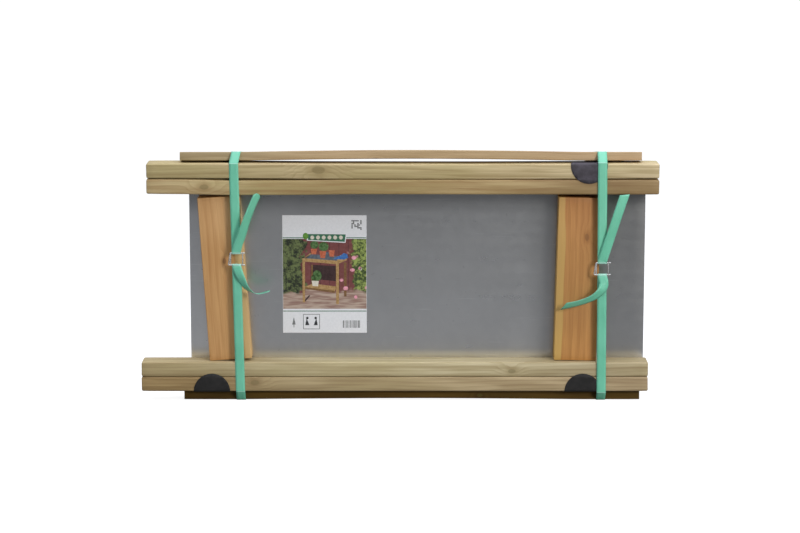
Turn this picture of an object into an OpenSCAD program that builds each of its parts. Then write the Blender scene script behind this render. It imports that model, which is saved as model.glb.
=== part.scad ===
// Potting bench as a strapped flat pack: legs, boards and rails bundled round the zinc worktop.
// Millimetres. X runs along the legs, -Y is the front with the label, Z is up from the floor.

/* [Legs] */
// Length of each leg
leg_l = 890; // [700:5:1100]
// Depth of a leg, front to back
leg_w = 46; // [34:1:60]
// Height of a leg as it lies in the pack
leg_t = 26; // [18:0.5:36]
// Radius of the planed arrises
leg_round = 3; // [1:0.5:5]
// Gap between the two top legs
top_pair_gap = 1.6; // [0.2:0.1:4]
// Gap between the two bottom legs
bottom_pair_gap = 0.3; // [0.1:0.1:3]
// How far each pair is pushed along from the middle
leg_stagger = 7; // [0:1:30]

/* [Apron boards] */
// Length of the boards above and below the pack
board_l = 802; // [640:2:980]
// Width of these boards
board_w = 89; // [70:1:92]
// Thickness of these boards
board_t = 15; // [10:0.5:20]
// Radius of the board arrises
board_round = 1.5; // [0.5:0.5:3]
// How much the top board is bowed up
top_bow = 3.6; // [0:0.1:8]
// How much the bottom board is bowed up
bottom_bow = 2; // [0:0.1:5]
// Backward tilt of the top board in degrees
top_tilt = 7.5; // [5:0.5:9]
// Middle of the top board along X
top_board_x = 21; // [-30:1:30]
// Middle of the bottom board along X
bottom_board_x = 23; // [-30:1:30]

/* [Cross rails] */
// Length of the short side rails
rail_l = 289; // [220:1:360]
// Width of the side rails
rail_w = 74; // [55:1:95]
// Thickness of the side rails
rail_t = 17; // [10:0.5:17]
// Room above the taller rail
rail_clear = 3.8; // [0.5:0.1:10]
// Middle of the left rails along X
left_rail_x = -304.5; // [-320:0.5:-290]
// Lean of the left rails in degrees
left_rail_lean = 3.7; // [0:0.1:6]
// Middle of the right rails along X
right_rail_x = 312.5; // [300:0.5:325]
// Lean of the right rails in degrees
right_rail_lean = 1.2; // [0:0.1:6]

/* [Worktop sheet] */
// Length of the zinc sheet
sheet_l = 800; // [640:2:960]
// Thickness of the zinc sheet
sheet_t = 0.8; // [0.5:0.1:2]
// Depth of the rim folded back all round
sheet_rim = 11; // [5:0.5:20]
// Room above and below the sheet
sheet_clear = 8; // [2:1:20]
// Middle of the sheet along X
sheet_x = 32.5; // [-10:0.5:40]

/* [Shelf slats and side boards] */
// Length of the slats
slat_l = 760; // [600:2:900]
// Width of the slats
slat_w = 70; // [50:1:84]
// Thickness of slats, back board and side boards
slat_t = 14; // [9:0.5:18]
// Length of the back board
back_board_l = 800; // [640:2:960]
// Width of the back board
back_board_w = 140; // [100:1:168]
// Width of a side board at its wide end
side_board_w = 140; // [100:1:168]
// Width of a side board at its narrow end
side_board_tip = 70; // [60:1:90]

/* [Straps and buckles] */
// Width of the plastic strap
strap_w = 16; // [10:0.5:20]
// Thickness of the strap
strap_t = 0.7; // [0.5:0.1:1.2]
// Middle of the left strap along X
left_strap_x = -281; // [-290:0.5:-270]
// Middle of the right strap along X
right_strap_x = 354; // [345:0.5:360]
// Wire thickness of the buckles
wire_d = 2.5; // [1.8:0.1:3.5]
// Distance between the two bars of a buckle
bar_span = 21; // [16:0.5:28]
// Height of the left buckle's middle
left_buckle_z = 254; // [220:1:280]
// Height of the right buckle's middle
right_buckle_z = 237; // [220:1:280]

/* [Edge pads] */
// Radius of the round pads
pad_r = 32; // [24:1:38]
// Thickness of the pads
pad_t = 1.2; // [0.6:0.1:2]
// Middle of the bottom left pad along X
left_pad_x = -328; // [-334:1:-322]
// Middle of the bottom right pad along X
right_pad_x = 323; // [318:1:328]
// Middle of the top right pad along X
top_pad_x = 330; // [325:1:335]

/* [Label and loose items] */
// Width of the label
label_w = 148; // [105:1:180]
// Height of the label
label_h = 210; // [148:1:250]
// Middle of the label along X
label_x = -130.5; // [-150:0.5:-110]
// Height of the label's lower edge above the bottom legs
label_rise = 43.5; // [10:0.5:80]
// Width of the bag of fixings
bag_w = 120; // [90:1:150]
// Height of the bag of fixings
bag_h = 84; // [60:1:110]
// Length of the screws in the bag
screw_l = 40; // [25:1:50]
// Shank thickness of the screws
screw_d = 4; // [3:0.5:5]

/* [Hidden] */
$fn = 48;

// Small clearances that keep neighbouring pieces apart
pad_ease = 0.5;
touch = 0.1;
stack_gap = 0.5;
strap_clear = 0.05;
wire_clear = 0.05;
rail_gap = 0.4;
rail_sheet_gap = 0.6;

// Bow of a board: flat under the straps and beyond them, raised between them
bow_steps = 24;
bow_margin = 1;
bow_half = top_board_x - left_strap_x - strap_w / 2 - bow_margin;

// Free edge of a side board, as shares of its length, and how far it reaches past its strap
sweep_from = 0.34;
sweep_to = 0.8;
sweep_steps = 16;
side_board_reach = 10;

// Buckle wire: room beside the strap, flare of the closed side, loose ends, braces and bends
buckle_room = 1.6;
buckle_flare = 3;
buckle_loose = 4;
brace_d = wire_d * 0.94;
knuckle_d = wire_d * 1.06;
brace_inset = wire_d * 0.3;

// Tail stations, from the root at the bar: sideways, forwards, upwards, twist
left_upper_tail = [
    [0, 0, 0, 0], [4, -1.6, 14, 8], [11, -3.6, 31, 22],
    [20, -4.8, 56, 34], [30, -4.8, 80, 40], [41, -4, 103, 40]
];
left_lower_tail = [
    [0, 0, 0, 0], [3, -1.4, -10, 10], [9, -3, -24, 30],
    [19, -3, -40, 60], [35, -2.4, -48, 84], [57, -2, -43, 90]
];
right_upper_tail = [[0, 0, 0, 0], [5, -1, 16, 0], [17, -2.5, 54, 3], [28, -2.5, 88, 3], [38, -1.5, 118, 0]];
right_lower_tail = [
    [0, 0, 0, 0], [3, -2, -14, -4], [-2, -3.8, -26, -24],
    [-17, -4, -38, -40], [-40, -3.4, -47, -46], [-67, -3, -53, -42]
];
tail_steps = 18;
tail_root = 2;
tail_lap = 0.5;
tail_end_trim = 2;
loop_steps = 12;
bend_steps = 4;

// Edge pads, label, bag, screws and leaflet
pad_steps = 24;
label_t = 0.3;
bag_t = 12;
bag_wall = 0.5;
bag_x = 10;
bag_corner = 4;
bag_seam = 0.3;
bag_crown = 0.6;
screw_rows = 9;
screw_lift = 10;
screw_shank = screw_d * 0.8;
screw_head = screw_d * 1.8;
screw_rim = 0.4;
leaflet_w = 105;
leaflet_h = 148;
leaflet_t = 1.6;
leaflet_x = 150;
small_fn = 24;

// Heights, from the floor up
bottom_board_z = strap_t + strap_clear;
bottom_board_top = bottom_board_z + board_t;
bottom_leg_z = bottom_board_top + bottom_bow + touch;
second_leg_z = bottom_leg_z + leg_t + bottom_pair_gap;
bay_z = second_leg_z + leg_t;
left_rail_h = rail_l * cos(left_rail_lean) + rail_w * sin(left_rail_lean);
right_rail_h = rail_l * cos(right_rail_lean) + rail_w * sin(right_rail_lean);
bay_h = max(left_rail_h, right_rail_h) + rail_clear;
third_leg_z = bay_z + bay_h;
top_leg_z = third_leg_z + leg_t + top_pair_gap;
leg_top = top_leg_z + leg_t;

// Depths in the pack, counted back from the legs' front face
sheet_y = leg_w + rail_sheet_gap + rail_gap;
rail_y = sheet_y - rail_sheet_gap - 2 * rail_t - rail_gap;
inner_y = rail_y + rail_t + rail_gap;
slat_y = sheet_y + sheet_rim + stack_gap;
back_y = slat_y + slat_t + stack_gap;
side_y = back_y + slat_t + stack_gap;
pack_rear = side_y + slat_t;
board_y = pack_rear - board_w;

// The top board leans back over the rear arris of the top leg: its front lower edge
top_board_y = pack_rear - board_w * cos(top_tilt) - board_t * sin(top_tilt);
arris_y = leg_w - leg_round + (leg_round + touch) * sin(top_tilt);
arris_z = leg_top - leg_round + (leg_round + touch) * cos(top_tilt);
top_board_z = arris_z + (arris_y - top_board_y) * tan(top_tilt);
top_board_rear_z = top_board_z - board_w * sin(top_tilt);
back_edge_z = top_board_rear_z + board_t * cos(top_tilt);
fore_edge = [top_board_y + board_t * sin(top_tilt), top_board_z + board_t * cos(top_tilt)];

// The whole pack is centred on the origin, with the strap tails in front
tail_reach = 14.97;
front_y = (tail_reach - pack_rear - strap_t - strap_clear) / 2;

// Bodies of the sheet and the stack behind it
sheet_h = leg_top - bottom_board_top - 2 * sheet_clear;
stack_z = bottom_leg_z;
side_board_l = top_board_rear_z - stack_z - touch;
bag_y = back_y + slat_t + stack_gap;
bag_middle = bag_y + bag_t / 2;

// Folds of the edge pads: the top one reaches back no further than the room under the tilted board
pad_room = top_board_y + (top_board_z - leg_top - pad_t - touch) / tan(top_tilt);
top_pad_fold = max(3, pad_r - pad_room);

// Strap line, half a strap outside the bundle
strap_bend = 1.6;
strap_line = strap_t / 2 + strap_clear;
loop_r = wire_d / 2 + wire_clear + strap_t / 2;
right_lift = pad_t + pad_ease;

function unit(v) = v / norm(v);
function flip(list) = [for (i = [len(list) - 1:-1:0]) list[i]];
function normal_of(a, b) = let (d = unit(b - a)) [d[1], -d[0]];
function on_circle(c, r, a) = c + r * [cos(a), sin(a)];
function arc(c, r, a0, a1, n) = [for (i = [0:n]) on_circle(c, r, a0 + (a1 - a0) * i / n)];

// Corner i of a closed outline, moved out by d along both of its sides
function outset(p, i, d) = let (
    n = len(p),
    n1 = normal_of(p[(i + n - 1) % n], p[i]),
    n2 = normal_of(p[i], p[(i + 1) % n])
) p[i] + (n1 + n2) * d / (1 + n1 * n2);

// A corner b between a and c, rounded to radius r
function rounded(a, b, c, r) = let (
    d1 = unit(a - b),
    d2 = unit(c - b),
    half = acos(d1 * d2) / 2,
    centre = b + unit(d1 + d2) * r / sin(half),
    s = b + d1 * r / tan(half) - centre,
    e = b + d2 * r / tan(half) - centre,
    a0 = atan2(s[1], s[0]),
    turn = atan2(s[0] * e[1] - s[1] * e[0], s * e)
) arc(centre, r, a0, a0 + turn, bend_steps);

// Direction of a polyline at point i, and the outline of a band of thickness t along it
function along(p, i) = let (n = len(p) - 1)
    unit((i < n ? unit(p[i + 1] - p[i]) : [0, 0]) + (i > 0 ? unit(p[i] - p[i - 1]) : [0, 0]));
function side_of(p, i, d) = let (
    v = along(p, i),
    w = unit(i > 0 ? p[i] - p[i - 1] : p[i + 1] - p[i])
) p[i] + [v[1], -v[0]] * d / (v * w);
function band(p, t) = concat(
    [for (i = [0:len(p) - 1]) side_of(p, i, t / 2)],
    flip([for (i = [0:len(p) - 1]) side_of(p, i, -t / 2)])
);

// Everything is placed from the legs' front face
module in_frame() {
    translate([0, front_y, 0]) children();
}

// Timber of section w by t along X, with round arrises: low corner at the origin
module rounded_section(w, t, r) {
    translate([r, 0]) square([w - 2 * r, t]);
    translate([0, r]) square([w, t - 2 * r]);
    for (y = [r, w - r], z = [r, t - r]) translate([y, z]) circle(r);
}

module timber(l, w, t, r) {
    translate([-l / 2, 0, 0]) rotate([90, 0, 90]) linear_extrude(l) rounded_section(w, t, r);
}

module leg(x, z) {
    color("#a3936b") in_frame() translate([x, 0, z]) timber(leg_l, leg_w, leg_t, leg_round);
}

// Bowed board with its front lower edge on the X axis
function bow_line(l, rise) = concat(
    [[-l / 2, 0]],
    [for (i = [0:bow_steps]) let (a = 180 * i / bow_steps - 90) [bow_half * a / 90, rise * cos(a)]],
    [[l / 2, 0]]
);

module bowed_board(rise) {
    line = bow_line(board_l, rise);
    c = board_round;
    translate([0, board_w, 0]) rotate([90, 0, 0]) {
        translate([0, 0, c]) linear_extrude(board_w - 2 * c)
            polygon(concat(line, flip([for (p = line) p + [0, board_t]])));
        linear_extrude(board_w)
            polygon(concat([for (p = line) p + [0, c]], flip([for (p = line) p + [0, board_t - c]])));
    }
}

module top_board() {
    color("#ba9e6e") in_frame() translate([top_board_x, top_board_y, top_board_z]) rotate([-top_tilt, 0, 0])
        bowed_board(top_bow);
}

module bottom_board() {
    color("#6b5430") in_frame() translate([bottom_board_x, board_y, bottom_board_z]) bowed_board(bottom_bow);
}

// Side rail standing on the bottom legs: lean tips its top towards -X, or towards +X when negative
module cross_rail(x, y, lean) {
    h = rail_l * cos(lean) + rail_w * sin(abs(lean));
    color("#b58a5b") in_frame() translate([x, y, bay_z + touch + h / 2]) rotate([0, -lean, 0])
        translate([-rail_w / 2, 0, -rail_l / 2])
            linear_extrude(rail_l) rounded_section(rail_w, rail_t, board_round);
}

module worktop_sheet() {
    z = bottom_board_top + sheet_clear;
    color("#7b7b79") in_frame() translate([sheet_x - sheet_l / 2, sheet_y, z]) difference() {
        cube([sheet_l, sheet_rim, sheet_h]);
        translate([sheet_t, sheet_t, sheet_t])
            cube([sheet_l - 2 * sheet_t, sheet_rim, sheet_h - 2 * sheet_t]);
    }
}

// Slats and boards lie flat behind the sheet, one above the other
module slat(y, z) {
    color("#b3976a") in_frame() translate([sheet_x, y, z]) timber(slat_l, slat_t, slat_w, board_round);
}

module shelf_slat(i) {
    slat(slat_y, stack_z + i * (slat_w + stack_gap));
}

module back_board() {
    color("#b3976a") in_frame() translate([sheet_x, back_y, stack_z])
        timber(back_board_l, slat_t, back_board_w, board_round);
}

module top_batten(i) {
    slat(back_y, stack_z + back_board_w + stack_gap + i * (slat_w + stack_gap));
}

// Side board standing behind the stack under a strap: its free edge sweeps in towards the tip
module side_board(strap_x, dir) {
    x0 = strap_x - dir * (side_board_tip / 2 + side_board_reach);
    edge = [for (i = [0:sweep_steps]) let (s = i / sweep_steps) [
        side_board_w - (side_board_w - side_board_tip) * (1 - cos(180 * s)) / 2,
        side_board_l * (sweep_from + (sweep_to - sweep_from) * s)
    ]];
    outline = concat([[0, 0], [side_board_w, 0]], edge, [[side_board_tip, side_board_l], [0, side_board_l]]);
    color("#b3976a") in_frame() translate([x0, side_y + slat_t, stack_z]) rotate([90, 0, 0])
        linear_extrude(slat_t) polygon([for (p = outline) [dir * p[0], p[1]]]);
}

// Bundle outline that a strap runs round, front to back and up; lift is what lies under it in front
function bundle(lift) = [
    [-lift, bottom_leg_z - lift], [-lift, leg_top + lift],
    fore_edge, [pack_rear, back_edge_z],
    [pack_rear, bottom_board_z], [board_y, bottom_board_z]
];
function strap_y(lift) = -lift - strap_line;
function bar_y(lift) = strap_y(lift) - loop_r;

// Middle line of the strap: from the front of the upper bar, over the pack, to the lower bar
function strap_path(lift, z) = let (
    p = bundle(lift),
    q = [for (i = [0:5]) outset(p, i, -strap_line)],
    top = [strap_y(lift), z + bar_span / 2],
    low = [strap_y(lift), z - bar_span / 2],
    upper = [bar_y(lift), z + bar_span / 2],
    lower = [bar_y(lift), z - bar_span / 2]
) concat(
    [upper + [-loop_r, tail_root]],
    arc(upper, loop_r, 180, 360, loop_steps),
    rounded(top, q[1], q[2], strap_bend),
    rounded(q[1], q[2], q[3], strap_bend),
    rounded(q[2], q[3], q[4], strap_bend),
    rounded(q[3], q[4], q[5], strap_bend),
    rounded(q[4], q[5], q[0], strap_bend),
    rounded(q[5], q[0], low, strap_bend),
    arc(lower, loop_r, 0, 180, loop_steps),
    [lower + [-loop_r, -tail_root]]
);

// Flat tail through stations [x, y, z, twist]: twist turns its width from the front plane
function tail_at(list, u) = let (
    n = len(list) - 1,
    i = min(floor(u * n), n - 1),
    s = u * n - i,
    a = list[max(i - 1, 0)], b = list[i], c = list[i + 1], d = list[min(i + 2, n)]
) (2 * b + (c - a) * s + (2 * a - 5 * b + 4 * c - d) * s * s + (3 * b - a - 3 * c + d) * s * s * s) / 2;
function xyz(v) = [v[0], v[1], v[2]];
function tail_ring(list, k) = let (
    q = tail_at(list, k / tail_steps),
    ahead = tail_at(list, min(k + 0.5, tail_steps) / tail_steps),
    behind = tail_at(list, max(k - 0.5, 0) / tail_steps),
    d = unit(xyz(ahead - behind)),
    across = unit(cross([0, -1, 0], d)),
    w = cos(q[3]) * across + sin(q[3]) * unit(cross(d, across)),
    h = unit(cross(d, w)),
    half = k == tail_steps ? strap_w / 2 - tail_end_trim : strap_w / 2
) [for (c = [[-1, -1], [1, -1], [1, 1], [-1, 1]]) xyz(q) + w * c[0] * half + h * c[1] * strap_t / 2];

module tail(list) {
    rings = [for (k = [0:tail_steps]) tail_ring(list, k)];
    sides = [for (k = [0:tail_steps - 1], j = [0:3]) let (a = 4 * k + j, b = 4 * k + (j + 1) % 4) each
        [[a, a + 4, b + 4], [a, b + 4, b]]];
    last = 4 * tail_steps;
    end = [[last, last + 2, last + 1], [last, last + 3, last + 2]];
    polyhedron(points = [for (r = rings) each r], faces = concat([[0, 1, 2], [0, 2, 3]], sides, end));
}

module strap(x, lift, z, upper_tail, lower_tail) {
    tail_y = bar_y(lift) - loop_r;
    color("#5db695") in_frame() translate([x, 0, 0]) {
        rotate([90, 0, 90]) linear_extrude(strap_w, center = true)
            polygon(band(strap_path(lift, z), strap_t));
        translate([0, tail_y, z + bar_span / 2 + tail_root - tail_lap]) tail(upper_tail);
        translate([0, tail_y, z - bar_span / 2 - tail_root + tail_lap]) tail(lower_tail);
    }
}

module strap_left() {
    strap(left_strap_x, 0, left_buckle_z, left_upper_tail, left_lower_tail);
}

module strap_right() {
    strap(right_strap_x, right_lift, right_buckle_z, right_upper_tail, right_lower_tail);
}

// Wire buckle: two bars for the strap, closed by a flared side, with a brace beside the strap each side
module rod(a, b, d) {
    v = b - a;
    translate(a) rotate([0, 0, atan2(v[1], v[0])]) rotate([0, 90, 0]) cylinder(h = norm(v), d = d);
}

module buckle(x, lift, z) {
    bar = strap_w / 2 + buckle_room + wire_d / 2;
    flared = bar + buckle_flare;
    loose = bar + buckle_loose;
    inner = bar - brace_inset;
    h = bar_span / 2;
    color("#c9c9c6") in_frame() translate([x, bar_y(lift), z]) rotate([90, 0, 0]) {
        rod([-bar, h, 0], [loose, h, 0], wire_d);
        rod([-flared, -h, 0], [loose, -h, 0], wire_d);
        rod([-bar, h, 0], [-flared, -h, 0], brace_d);
        rod([-inner, h, 0], [-inner, -h, 0], brace_d);
        rod([bar, h, 0], [bar, -h, 0], brace_d);
        translate([-bar, h, 0]) sphere(d = knuckle_d);
        translate([-flared, -h, 0]) sphere(d = knuckle_d);
    }
}

// Round pad folded over a leg's front edge: fold is how far above the pad's middle the fold runs
module pad_part(from, to) {
    linear_extrude(pad_t) polygon(arc([0, 0], pad_r, from, to, pad_steps));
}

module folded_pad(x, z, up, fold) {
    tilt = asin(fold / pad_r);
    half = pad_r * cos(tilt) + touch;
    color("#26252a") in_frame() translate([x, 0, z]) mirror([0, 0, up ? 0 : 1]) {
        translate([0, 0, -fold]) rotate([90, 0, 0]) pad_part(-180 - tilt, tilt);
        translate([0, -fold, 0]) pad_part(tilt, 180 - tilt);
        translate([-half, -pad_t, 0]) cube([2 * half, pad_t, pad_t]);
    }
}

module bottom_pad(x) {
    folded_pad(x, bottom_leg_z, false, 0);
}

module top_pad(x) {
    folded_pad(x, leg_top, true, top_pad_fold);
}

module label() {
    color("#f2f2ee") in_frame() translate([label_x - label_w / 2, sheet_y - label_t, bay_z + label_rise])
        cube([label_w, label_t, label_h]);
}

// Plastic bag of fixings, a thin closed pillow standing on the bottom board
module pillow(w, h, t) {
    hull() {
        for (x = [-1, 1], z = [-1, 1])
            translate([x * (w / 2 - bag_corner), 0, z * (h / 2 - bag_corner)]) rotate([90, 0, 0])
                cylinder(h = t * bag_seam, r = bag_corner, center = true, $fn = small_fn);
        cube([w * bag_crown, t, h * bag_crown], center = true);
    }
}

module fixings_bag() {
    color("#dfe6e6") in_frame() translate([bag_x, bag_middle, stack_z + bag_h / 2]) difference() {
        pillow(bag_w, bag_h, bag_t);
        pillow(bag_w - 2 * bag_wall, bag_h - 2 * bag_wall, bag_t - 2 * bag_wall);
    }
}

// Countersunk screws standing in a row inside the bag, with the origin where the point begins
module screw() {
    neck = screw_l - screw_d;
    cylinder(h = neck, d = screw_shank, $fn = small_fn);
    translate([0, 0, neck]) cylinder(h = screw_d / 2, d1 = screw_shank, d2 = screw_head, $fn = small_fn);
    translate([0, 0, neck + screw_d / 2]) cylinder(h = screw_rim, d = screw_head, $fn = small_fn);
    mirror([0, 0, 1]) cylinder(h = screw_d, d1 = screw_shank, d2 = screw_rim, $fn = small_fn);
}

module screws() {
    pitch = screw_head + screw_rim;
    first = -(screw_rows - 1) * pitch / 2;
    color("#c8b878") in_frame() translate([bag_x, bag_middle, stack_z + bag_wall + screw_lift + screw_d])
        for (i = [0:screw_rows - 1]) translate([first + i * pitch, 0, 0]) screw();
}

// Folded assembly sheet beside the bag
module leaflet() {
    color("#e8e8e2") in_frame() translate([leaflet_x - leaflet_w / 2, bag_y, stack_z])
        cube([leaflet_w, leaflet_t, leaflet_h]);
}

leg(leg_stagger, top_leg_z);  // top_leg_upper
leg(leg_stagger, third_leg_z);  // top_leg_lower
leg(-leg_stagger, second_leg_z);  // bottom_leg_upper
leg(-leg_stagger, bottom_leg_z);  // bottom_leg_lower
cross_rail(left_rail_x, rail_y, left_rail_lean);  // cross_rail_left
cross_rail(left_rail_x, inner_y, left_rail_lean);  // cross_rail_left_inner
cross_rail(right_rail_x, rail_y, -right_rail_lean);  // cross_rail_right
cross_rail(right_rail_x, inner_y, -right_rail_lean);  // cross_rail_right_inner
worktop_sheet();
top_board();
bottom_board();
shelf_slat(0);  // shelf_slat_1
shelf_slat(1);  // shelf_slat_2
shelf_slat(2);  // shelf_slat_3
shelf_slat(3);  // shelf_slat_4
back_board();
top_batten(0);  // top_batten_1
top_batten(1);  // top_batten_2
side_board(left_strap_x, 1);  // side_board_left
side_board(right_strap_x, -1);  // side_board_right
strap_left();
strap_right();
buckle(left_strap_x, 0, left_buckle_z);  // buckle_left
buckle(right_strap_x, right_lift, right_buckle_z);  // buckle_right
bottom_pad(left_pad_x);  // edge_pad_bottom_left
bottom_pad(right_pad_x);  // edge_pad_bottom_right
top_pad(top_pad_x);  // edge_pad_top_right
label();
fixings_bag();
screws();
leaflet();
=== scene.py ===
# %% [markdown]
# # A potting bench, strapped as a flat pack
#
# The bench is still a bundle: four legs, short rails, boards and slats are held round a zinc
# worktop by two green plastic straps. This lesson loads the measured frame, which says where
# every piece is, and then gives each piece its real surface. Lengths are in metres, X runs along
# the legs, the front with the label faces -Y, and Z is up.

# %% Load the frame
import math
import random

import bmesh
import bpy
from mathutils import Matrix, Vector, noise


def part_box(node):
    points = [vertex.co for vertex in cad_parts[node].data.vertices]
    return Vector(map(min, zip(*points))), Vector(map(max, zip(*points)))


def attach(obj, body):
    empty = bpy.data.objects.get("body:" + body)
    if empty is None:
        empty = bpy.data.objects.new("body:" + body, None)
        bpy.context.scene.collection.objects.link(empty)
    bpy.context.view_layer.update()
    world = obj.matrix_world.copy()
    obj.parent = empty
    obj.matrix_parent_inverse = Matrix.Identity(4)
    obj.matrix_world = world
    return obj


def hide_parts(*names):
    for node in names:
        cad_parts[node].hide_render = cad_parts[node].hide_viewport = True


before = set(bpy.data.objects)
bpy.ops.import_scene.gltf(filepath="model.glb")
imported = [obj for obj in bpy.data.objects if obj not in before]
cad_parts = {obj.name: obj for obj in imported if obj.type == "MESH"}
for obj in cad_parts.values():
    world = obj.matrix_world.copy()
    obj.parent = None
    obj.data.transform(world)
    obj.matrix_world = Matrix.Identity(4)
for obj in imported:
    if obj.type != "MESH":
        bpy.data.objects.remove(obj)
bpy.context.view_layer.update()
MM = 0.001

# %% [markdown]
# ## Building with nodes
#
# Procedural materials need many small maths nodes. They could be added one at a time, with three
# or four lines each. `Graph` is a short hand instead: each call makes one node, links or sets its
# inputs and returns its first output, so that a finish reads as a few lines of sums.


# %% A short hand for node trees
class Graph:
    def __init__(self, tree):
        self.tree = tree

    def feed(self, node, inputs):
        """A socket is linked to the node's input of that name, a value is set, None is left."""
        for key, value in inputs.items():
            if isinstance(value, bpy.types.NodeSocket):
                self.tree.links.new(value, node.inputs[key])
            elif value is not None:
                node.inputs[key].default_value = value
        return node

    def node(self, kind, inputs=(), **settings):
        made = self.tree.nodes.new(kind)
        for name, value in settings.items():
            setattr(made, name, value)
        return self.feed(made, dict(inputs))

    def math(self, operation, a, b=None, c=None, clamp=False):
        inputs = {0: a, 1: b, 2: c}
        return self.node("ShaderNodeMath", inputs, operation=operation, use_clamp=clamp).outputs[0]

    def vector(self, operation, a, b=None):
        return self.node("ShaderNodeVectorMath", {0: a, 1: b}, operation=operation).outputs[0]

    def length(self, vector):
        return self.node("ShaderNodeVectorMath", {0: vector}, operation="LENGTH").outputs["Value"]

    def split(self, vector):
        """The x, y and z of a vector."""
        return self.node("ShaderNodeSeparateXYZ", {0: vector}).outputs

    def mapped(self, vector, scale=(1, 1, 1), turn=(0, 0, 0)):
        inputs = {"Vector": vector, "Scale": scale, "Rotation": turn}
        return self.node("ShaderNodeMapping", inputs).outputs[0]

    def noise(self, vector, scale, detail=3.0, roughness=0.55, turn=(0, 0, 0)):
        """Noise with `scale` swells to the metre: one number, or one for each axis."""
        scale = scale if isinstance(scale, tuple) else (scale, scale, scale)
        inputs = {"Vector": self.mapped(vector, scale, turn), "Scale": 1.0}
        inputs.update({"Detail": detail, "Roughness": roughness})
        return self.node("ShaderNodeTexNoise", inputs).outputs["Fac"]

    def ramp(self, value, low, high, to_low=0.0, to_high=1.0):
        """A smooth step from to_low, where the value is low, to to_high, where it is high."""
        inputs = {0: value, 1: low, 2: high, 3: to_low, 4: to_high}
        return self.node("ShaderNodeMapRange", inputs, interpolation_type="SMOOTHSTEP").outputs[0]

    def mix(self, factor, a, b, blend="MIX"):
        inputs = {0: factor, 6: a, 7: b}
        return self.node("ShaderNodeMix", inputs, data_type="RGBA", blend_type=blend).outputs[2]

    def group(self, tree, inputs):
        return self.node("ShaderNodeGroup", inputs, node_tree=tree)


def new_group(name, inputs, outputs):
    """A shader node group: inputs and outputs are {socket name: (kind, default)} and {name: kind}."""
    tree = bpy.data.node_groups.new(name, "ShaderNodeTree")
    for key, (kind, default) in inputs.items():
        socket = tree.interface.new_socket(key, in_out="INPUT", socket_type="NodeSocket" + kind)
        socket.default_value = default
    for key, kind in outputs.items():
        tree.interface.new_socket(key, in_out="OUTPUT", socket_type="NodeSocket" + kind)
    entry = tree.nodes.new("NodeGroupInput").outputs
    return Graph(tree), entry, tree.nodes.new("NodeGroupOutput")


def rgb(r, g, b):
    """A colour as seen on a screen, 0 to 255, made linear."""
    return (*[((v / 255 + 0.055) / 1.055) ** 2.4 if v > 10 else v / 3294 for v in (r, g, b)], 1)


def shader_of(material):
    return material.node_tree.nodes["Principled BSDF"]


def start_material(name):
    """A new material, the graph to build it with, and where a point is on the piece."""
    material = bpy.data.materials.new(name)
    material.use_nodes = True
    graph = Graph(material.node_tree)
    return material, graph, graph.node("ShaderNodeTexCoord").outputs["Object"]


def bump(graph, height, strength, distance):
    """A normal for the shader, bent by a height."""
    made = graph.node("ShaderNodeBump", {"Height": height, "Strength": strength, "Distance": distance})
    return made.outputs[0]


print("node helpers ready")

# %% [markdown]
# ## Camera, floor and light
#
# A pack this long is shot with a long lens from a little above, so that the legs stay parallel.
# The floor has to look white and yet send little light up at the pack. It could be lit until it
# burns out, but then the undersides would be bright too. So it is grey, palest in a pool beside
# the pack, and it glows for the camera only. The sky is a little cool and brightest overhead, as
# under a large soft box, so that the top faces of the timber are lit more than the fronts. One
# lamp in front and to the right gives the straps their soft shadows.

# %% Place the camera
LEG_FACE_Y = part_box("top_leg_upper")[0].y
AIM = Vector((2.2 * MM, LEG_FACE_Y, 240.5 * MM))
CAMERA_DISTANCE = 4.393
CAMERA_ELEVATION = math.radians(9.74)
LENS_MM = 113.5

camera_data = bpy.data.cameras.new("camera")
camera_data.lens = LENS_MM
camera_data.clip_end = 200
camera = bpy.data.objects.new("camera", camera_data)
back = Vector((0, -math.cos(CAMERA_ELEVATION), math.sin(CAMERA_ELEVATION)))
camera.location = AIM + back * CAMERA_DISTANCE
camera.rotation_euler = (-back).to_track_quat("-Z", "Y").to_euler()
bpy.context.scene.collection.objects.link(camera)
bpy.context.scene.camera = camera
bpy.context.scene.view_settings.view_transform = "Standard"
print("camera at", [round(v, 3) for v in camera.location])

# %% Lay the floor
FLOOR_SIZE = 120
FLOOR_NEAR, FLOOR_FAR = 0.3, 0.1
POOL_CENTRE, POOL_INNER, POOL_OUTER = (-0.5, -0.3, 0), 0.5, 2.6
FLOOR_GLOW = 0.9

floor_white, graph, where = start_material("floor_white")
from_pool = graph.length(graph.vector("SUBTRACT", where, POOL_CENTRE))
fade = {0: from_pool, 1: POOL_INNER, 2: POOL_OUTER, 3: FLOOR_NEAR, 4: FLOOR_FAR}
seen = graph.node("ShaderNodeLightPath").outputs["Is Camera Ray"]
graph.feed(shader_of(floor_white), {
    "Base Color": graph.node("ShaderNodeMapRange", fade).outputs[0],
    "Roughness": 0.95, "Specular IOR Level": 0, "Emission Color": (1, 1, 1, 1),
    "Emission Strength": graph.math("MULTIPLY", seen, FLOOR_GLOW),
})

floor_bm = bmesh.new()
bmesh.ops.create_grid(floor_bm, x_segments=1, y_segments=1, size=FLOOR_SIZE / 2)
floor_mesh = bpy.data.meshes.new("floor")
floor_bm.to_mesh(floor_mesh)
floor_bm.free()
floor_mesh.materials.append(floor_white)
floor = bpy.data.objects.new("floor", floor_mesh)
bpy.context.scene.collection.objects.link(floor)
print("floor", FLOOR_SIZE, "m across")

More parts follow.
